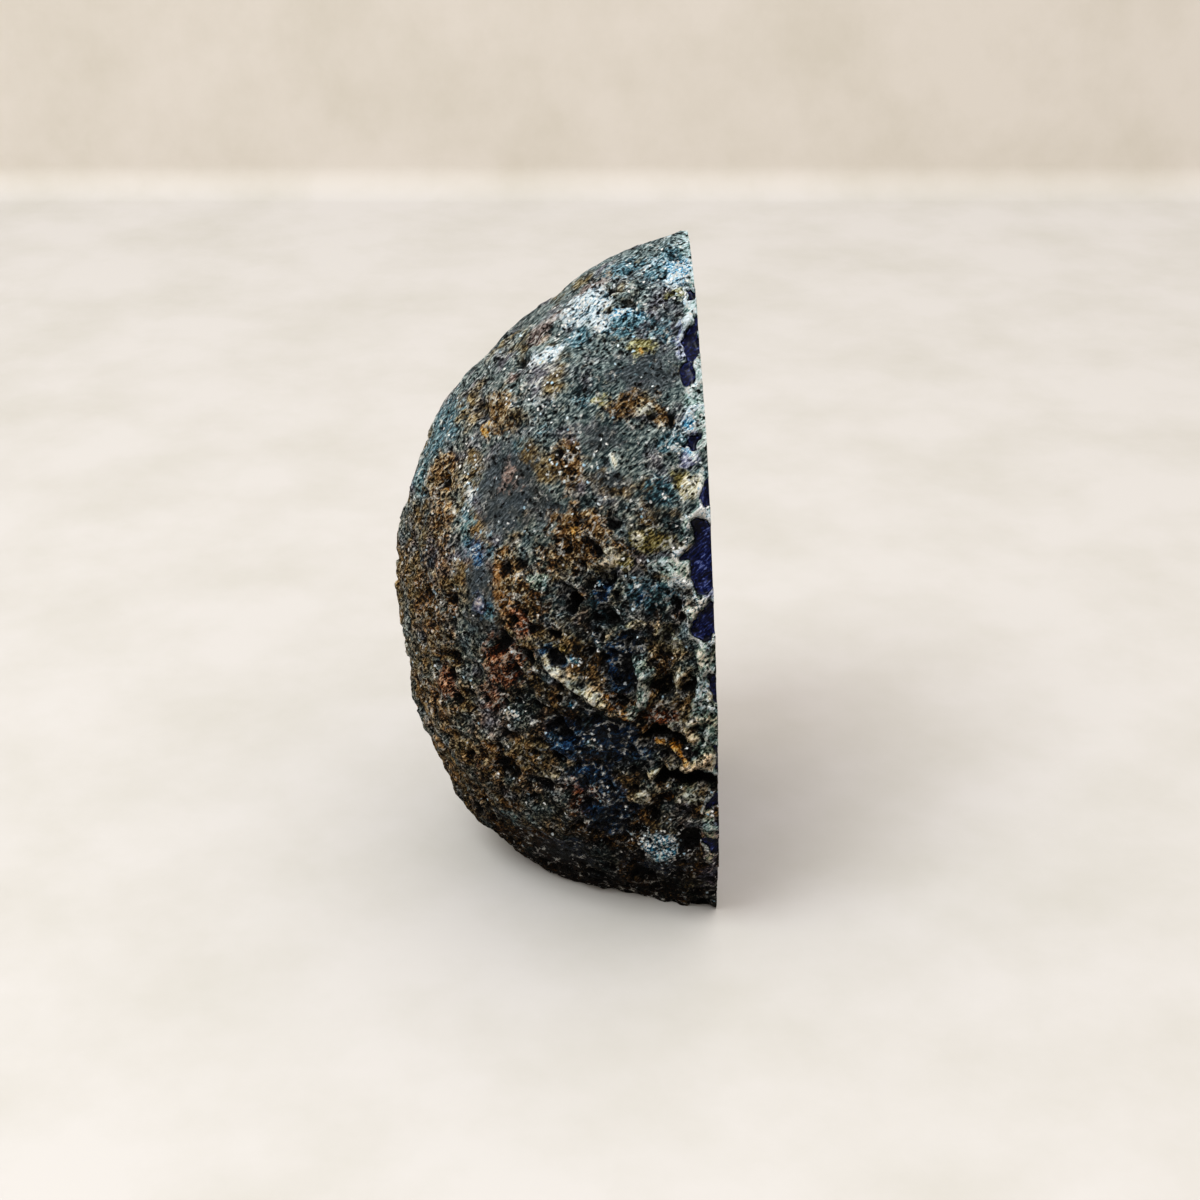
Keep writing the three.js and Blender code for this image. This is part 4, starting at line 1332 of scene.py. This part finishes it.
# %% Follow the recipes
def follow_recipes(tree, fields):
    """Adds the field of each recipe to the fields."""
    for name, start, weights, slope in PLACES + SMALL_THINGS + TONES + COVERS + BUMPS:
        parts = [(fields[other], fields.get(weight, weight)) for other, weight in weights.items()]
        fields[name] = weighted_sum(tree, start, parts)
        if slope:
            ends = dict(zip(("From Min", "From Max", "To Max"), slope))
            node = add_node(tree, "ShaderNodeMapRange", {"Value": fields[name], **ends})
            fields[name] = node.outputs[0]
    dirt_and_shade = {0: fields["dent"], 1: fields["hole"]}
    fields["dirt_and_shade"] = add_node(tree, "ShaderNodeMath", dirt_and_shade, operation="MAXIMUM").outputs[0]


# From the lowest coat up: its cover, the field that its ramp follows, the ramp, and how it blends.
COATS = [
    ("all", "tone", GROUNDS["green"], "MIX"), ("plum", "tone", GROUNDS["plum"], "MIX"),
    ("brown", "tone", GROUNDS["brown"], "MIX"),
    *[(kind + " cover", "tone", ramp, "MIX") for kind, ramp in STAINS.items()],
    ("all", "lift", LIGHT_TINTS_BY_HEIGHT, "MULTIPLY"), ("lower", "tints", WARM_TO_COOL, "MULTIPLY"),
    ("threads", "tone", THREAD_TONE, "MIX"), ("crystal_and_glint", "hue", CRYSTAL_AND_GLINT_TINTS, "MIX"),
    ("dirt_and_shade", "tone", DIRT_AND_SHADE_TONE, "MIX"), ("bare", "tone", DYED, "MIX"),
]
print(len(COATS), "coats")


# %% Rind material
def rind_material():
    material, tree, shader, place = new_material("weathered basalt rind")
    fields = rind_fields(tree, place)
    follow_recipes(tree, fields)
    coats = []
    for cover, along, stops, way in COATS:
        ramp = add_node(tree, "ShaderNodeValToRGB", {"Fac": fields[along]}, stops=stops)
        coats.append((fields[cover], ramp.outputs["Color"], way))
    tree.links.new(coats_over(tree, linear("#000000"), coats), shader.inputs["Base Color"])
    roughness = 0.85
    for cover, own in ROUGHNESS.items():
        roughness = add_node(tree, "ShaderNodeMix", {
            FACTOR: fields[cover], NUMBER_A: roughness, NUMBER_B: own,
        }).outputs[0]
    tree.links.new(roughness, shader.inputs["Roughness"])
    normal = add_node(tree, "ShaderNodeBump", {
        "Height": fields["coarse"], "Strength": 1.0, "Distance": 1.3 * MM,
    }).outputs[0]
    normal = add_node(tree, "ShaderNodeBump", {
        "Height": fields["fine"], "Normal": normal, "Strength": 1.0, "Distance": 1.0 * MM,
    }).outputs[0]
    tree.links.new(normal, shader.inputs["Normal"])
    shader.inputs["IOR"].default_value = 1.5
    shader.inputs["Specular IOR Level"].default_value = 0.06
    return material


rind_finish = rind_material()
print(f"the rind's material has {len(rind_finish.node_tree.nodes)} nodes")

# %% [markdown]
# ### Polished agate
#
# Agate is quartz in layers thinner than paper, which take dye unevenly: the porous ones turn deep blue and
# the tight ones stay grey or white. Polished, it is as glossy as glass. The bands are drawn along the
# number that runs from the rind to the hollow, bent a little by noise so that they pinch and swell as real
# ones do.

# %% Agate material
AGATE_BANDS = [
    (0.0, "#151a18"), (0.02, "#4d5a52"), (0.03, "#b4c0ba"), (0.045, "#3c4a78"), (0.065, "#0c0e36"),
    (0.2, "#070830"), (0.25, "#152370"), (0.29, "#090b38"), (0.41, "#0d1450"), (0.46, "#2549a0"),
    (0.49, "#0b0f46"), (0.6, "#101c62"), (0.66, "#3a68b4"), (0.69, "#c4d4e6"), (0.7, "#4674ba"),
    (0.77, "#14266e"), (0.83, "#0e184e"), (0.87, "#5f86bf"), (0.885, "#e2eaf0"), (0.905, "#7d9cc8"),
    (0.95, "#3a5496"), (1.0, "#8ba3c6"),
]
# Noises that bend the bands: size in millimetres, and how far they push a band along the stops.
BENDS = [(13, 0.22), (2.2, 0.025)]
# Fine layers over the bands: the noise at which one starts and is full, how strong it gets, and its colour.
LAYERS_ACROSS = 45.0
FINE_LAYERS = [(0.5, 0.72, 0.45, "#7fa2d8"), (0.46, 0.3, 0.6, "#04051c")]


def banded_colour(tree, place):
    """The colour of agate from the rind (an inset of 0) to the hollow (1)."""
    along = add_node(tree, "ShaderNodeAttribute", attribute_name="inset").outputs["Fac"]
    for size, push in BENDS:
        bend = add_node(tree, "ShaderNodeTexNoise", {
            "Vector": place, "Scale": per_mm(size), "Detail": 3.0,
        }).outputs["Fac"]
        # The noise's middle is a half, so half of the push is taken off again.
        along = weighted_sum(tree, along, [(bend, push), (1.0, -push / 2)])
    bands = add_node(tree, "ShaderNodeValToRGB", {"Fac": along}, stops=AGATE_BANDS).outputs["Color"]
    layers = add_node(tree, "ShaderNodeTexNoise", {
        "W": along, "Scale": LAYERS_ACROSS, "Detail": 4.0, "Roughness": 0.75,
    }, noise_dimensions="1D").outputs["Fac"]
    coats = []
    for start, end, most, code in FINE_LAYERS:
        cover = add_node(tree, "ShaderNodeMapRange", {
            "Value": layers, "From Min": start, "From Max": end, "To Max": most,
        }).outputs[0]
        coats.append((cover, linear(code), "MIX"))
    return coats_over(tree, bands, coats)


print(len(AGATE_BANDS), "stops from the rind to the hollow")

# %% Two finishes of agate
SAW_MARKS = 2.177  # mm between the marks of the saw on the base
WAVE = math.pi / 10  # the distance between a wave texture's stripes at a scale of 1


def agate_material(name, polished):
    material, tree, shader, place = new_material(name)
    tree.links.new(banded_colour(tree, place), shader.inputs["Base Color"])
    shader.inputs["IOR"].default_value = 1.54
    if polished:
        shader.inputs["Roughness"].default_value = 0.06
        shader.inputs["Specular IOR Level"].default_value = 0.4
        return material
    saw = add_node(tree, "ShaderNodeTexWave", {
        "Vector": place, "Scale": WAVE * per_mm(SAW_MARKS), "Distortion": 1.5, "Detail": 2.0,
    }, bands_direction="X").outputs["Fac"]
    bump = add_node(tree, "ShaderNodeBump", {"Height": saw, "Strength": 0.5, "Distance": 0.1 * MM})
    tree.links.new(bump.outputs[0], shader.inputs["Normal"])
    shader.inputs["Roughness"].default_value = 0.55
    return material


polished_finish = agate_material("polished agate", True)
sawn_finish = agate_material("sawn agate", False)
print("saw marks every", SAW_MARKS, "mm")


# %% [markdown]
# ### Quartz
#
# Clear to milky quartz with a breath of the dye. Light goes in, scatters and comes out brighter at the thin
# tips, so the tips are painted paler than the feet. The faces are flat and glassy.

# %% Quartz material
CLOUDS = 2.5  # mm
# Deep blue of the dye at the feet; the tips are painted paler, for the light that they scatter.
DEEP_TO_TIP = [(0.2, "#16266c"), (0.45, "#5470bc"), (0.8, "#b4c6e6"), (1.0, "#f4f8fd")]


def quartz_material():
    material, tree, shader, place = new_material("quartz points")
    depth = add_node(tree, "ShaderNodeAttribute", attribute_name="depth").outputs["Fac"]
    cloud = add_node(tree, "ShaderNodeTexNoise", {
        "Vector": place, "Scale": per_mm(CLOUDS), "Detail": 3.0,
    }).outputs["Fac"]
    milky = weighted_sum(tree, depth, [(cloud, 0.5)])
    colour = add_node(tree, "ShaderNodeValToRGB", {"Fac": milky}, stops=DEEP_TO_TIP).outputs["Color"]
    tree.links.new(colour, shader.inputs["Base Color"])
    shader.inputs["Roughness"].default_value = 0.08
    shader.inputs["IOR"].default_value = 1.544
    shader.inputs["Transmission Weight"].default_value = 0.15
    return material


# One finish for each of KINDS, in the same order.
for finish in (rind_finish, polished_finish, sawn_finish, quartz_material()):
    geode.data.materials.append(finish)
print("finishes:", [slot.material.name for slot in geode.material_slots])

# %% Place it in the model
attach(geode, "root")
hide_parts("geode_half")

# %% [markdown]
# ## Floor, wall and light
#
# A sheet of pale matt paper lies under the stone and bends up well behind it, so the horizon is soft. One
# big soft window of light stands high on the left, on the camera's side, and the pale room fills the
# shadows. The room is darker below than above, which keeps the stone's foot dark.

# %% Paper
BEND = 0.012  # metres: the radius of the bend between floor and wall
MOTTLE = 45  # mm
FLOOR_TONES = [(0.3, "#a4a29e"), (0.6, "#acaaa9")]
WALL_TONES = [(0.3, "#d3ccc1"), (0.6, "#ddd6ce")]


def paper_material():
    """Matt paper, faintly mottled. The upright part is a lighter paper, since less light falls on it."""
    material, tree, shader, place = new_material("matt paper")
    mottle = add_node(tree, "ShaderNodeTexNoise", {
        "Vector": place, "Scale": per_mm(MOTTLE), "Detail": 6.0, "Roughness": 0.6,
    }).outputs["Fac"]
    floor, wall = (
        add_node(tree, "ShaderNodeValToRGB", {"Fac": mottle}, stops=tones).outputs["Color"]
        for tones in (FLOOR_TONES, WALL_TONES)
    )
    height = add_node(tree, "ShaderNodeSeparateXYZ", {"Vector": place}).outputs["Z"]
    upright = add_node(tree, "ShaderNodeMapRange", {"Value": height, "From Max": BEND}).outputs[0]
    tree.links.new(coats_over(tree, floor, [(upright, wall, "MIX")]), shader.inputs["Base Color"])
    shader.inputs["Roughness"].default_value = 0.7
    return material


paper = paper_material()
print("paper with a mottle of", MOTTLE, "mm")

# %% Stage
# Metres: half the sheet's width, the wall's distance ahead of the camera, and its height.
FLOOR_HALF, WALL_AHEAD, WALL_TOP = 3.0, 0.856, 1.2
BEND_STEPS = 12


def backdrop():
    """A sheet that lies under the stone and bends up behind it, square to the camera's view."""
    turns = [math.radians(90 * k / BEND_STEPS) for k in range(BEND_STEPS + 1)]
    bend = [(WALL_AHEAD - BEND * (1 - math.sin(turn)), BEND * (1 - math.cos(turn))) for turn in turns]
    profile = [(-FLOOR_HALF, 0), *bend, (WALL_AHEAD, WALL_TOP)]
    yaw = math.radians(LOOKS_TO_THE_CUT)
    ahead = Vector((math.cos(yaw), -math.sin(yaw), 0))
    across = Vector((math.sin(yaw), math.cos(yaw), 0))
    foot = Vector((camera.location.x, camera.location.y, 0))
    points = [
        foot + ahead * away + across * side + Vector((0, 0, height))
        for away, height in profile
        for side in (-FLOOR_HALF, FLOOR_HALF)
    ]
    mesh = bpy.data.meshes.new("backdrop")
    squares = [(2 * k, 2 * k + 1, 2 * k + 3, 2 * k + 2) for k in range(len(profile) - 1)]
    mesh.from_pydata(points, [], squares)
    mesh.shade_smooth()
    mesh.materials.append(paper)
    sheet = bpy.data.objects.new("backdrop", mesh)
    scene.collection.objects.link(sheet)
    sheet.visible_diffuse = False  # the stone's shaded side is as dark as if it stood far from any paper
    return sheet


backdrop()
print(f"the backdrop bends up {WALL_AHEAD} m ahead of the camera")

# %% The window
WINDOW_PLACE, WINDOW_SIZE = (-0.46, 0.46, 1.02), 0.6  # metres
WINDOW_POWER = 11.8  # watts
WINDOW_COLOUR = "#f3f9fa"
AIM = Vector((0, 0, 0.05))  # metres: a little below the stone's middle


def window():
    """A round soft light that looks at the stone."""
    lamp = bpy.data.lights.new("window", "AREA")
    lamp.shape = "DISK"
    lamp.size = WINDOW_SIZE
    lamp.energy = WINDOW_POWER
    lamp.color = linear(WINDOW_COLOUR)[:3]
    light = bpy.data.objects.new("window", lamp)
    light.location = WINDOW_PLACE
    light.rotation_euler = (AIM - light.location).to_track_quat("-Z", "Y").to_euler()
    scene.collection.objects.link(light)
    return light


print("the window is", round((window().location - AIM).length, 2), "m from the stone")

# %% The room
# Its colours from straight below (0) to straight above (1), and its strength.
ROOM = [(0.0, "#57514b"), (0.48, "#57514b"), (0.56, "#7b736b"), (0.75, "#cac3b9"), (1.0, "#fdf6ef")]
ROOM_STRENGTH = 2.33


def pale_room():
    """Light from all round, strongest from overhead, as under a white ceiling."""
    world = bpy.data.worlds.new("pale room")
    world.use_nodes = True
    tree = world.node_tree
    way = add_node(tree, "ShaderNodeTexCoord").outputs["Generated"]
    up = add_node(tree, "ShaderNodeSeparateXYZ", {"Vector": way}).outputs["Z"]
    height = add_node(tree, "ShaderNodeMapRange", {"Value": up, "From Min": -1.0}).outputs[0]
    tint = add_node(tree, "ShaderNodeValToRGB", {"Fac": height}, stops=ROOM).outputs["Color"]
    background = tree.nodes["Background"]
    tree.links.new(tint, background.inputs["Color"])
    background.inputs["Strength"].default_value = ROOM_STRENGTH
    return world


scene.world = pale_room()
scene.view_settings.view_transform = "Standard"
print("the room's strength is", ROOM_STRENGTH)
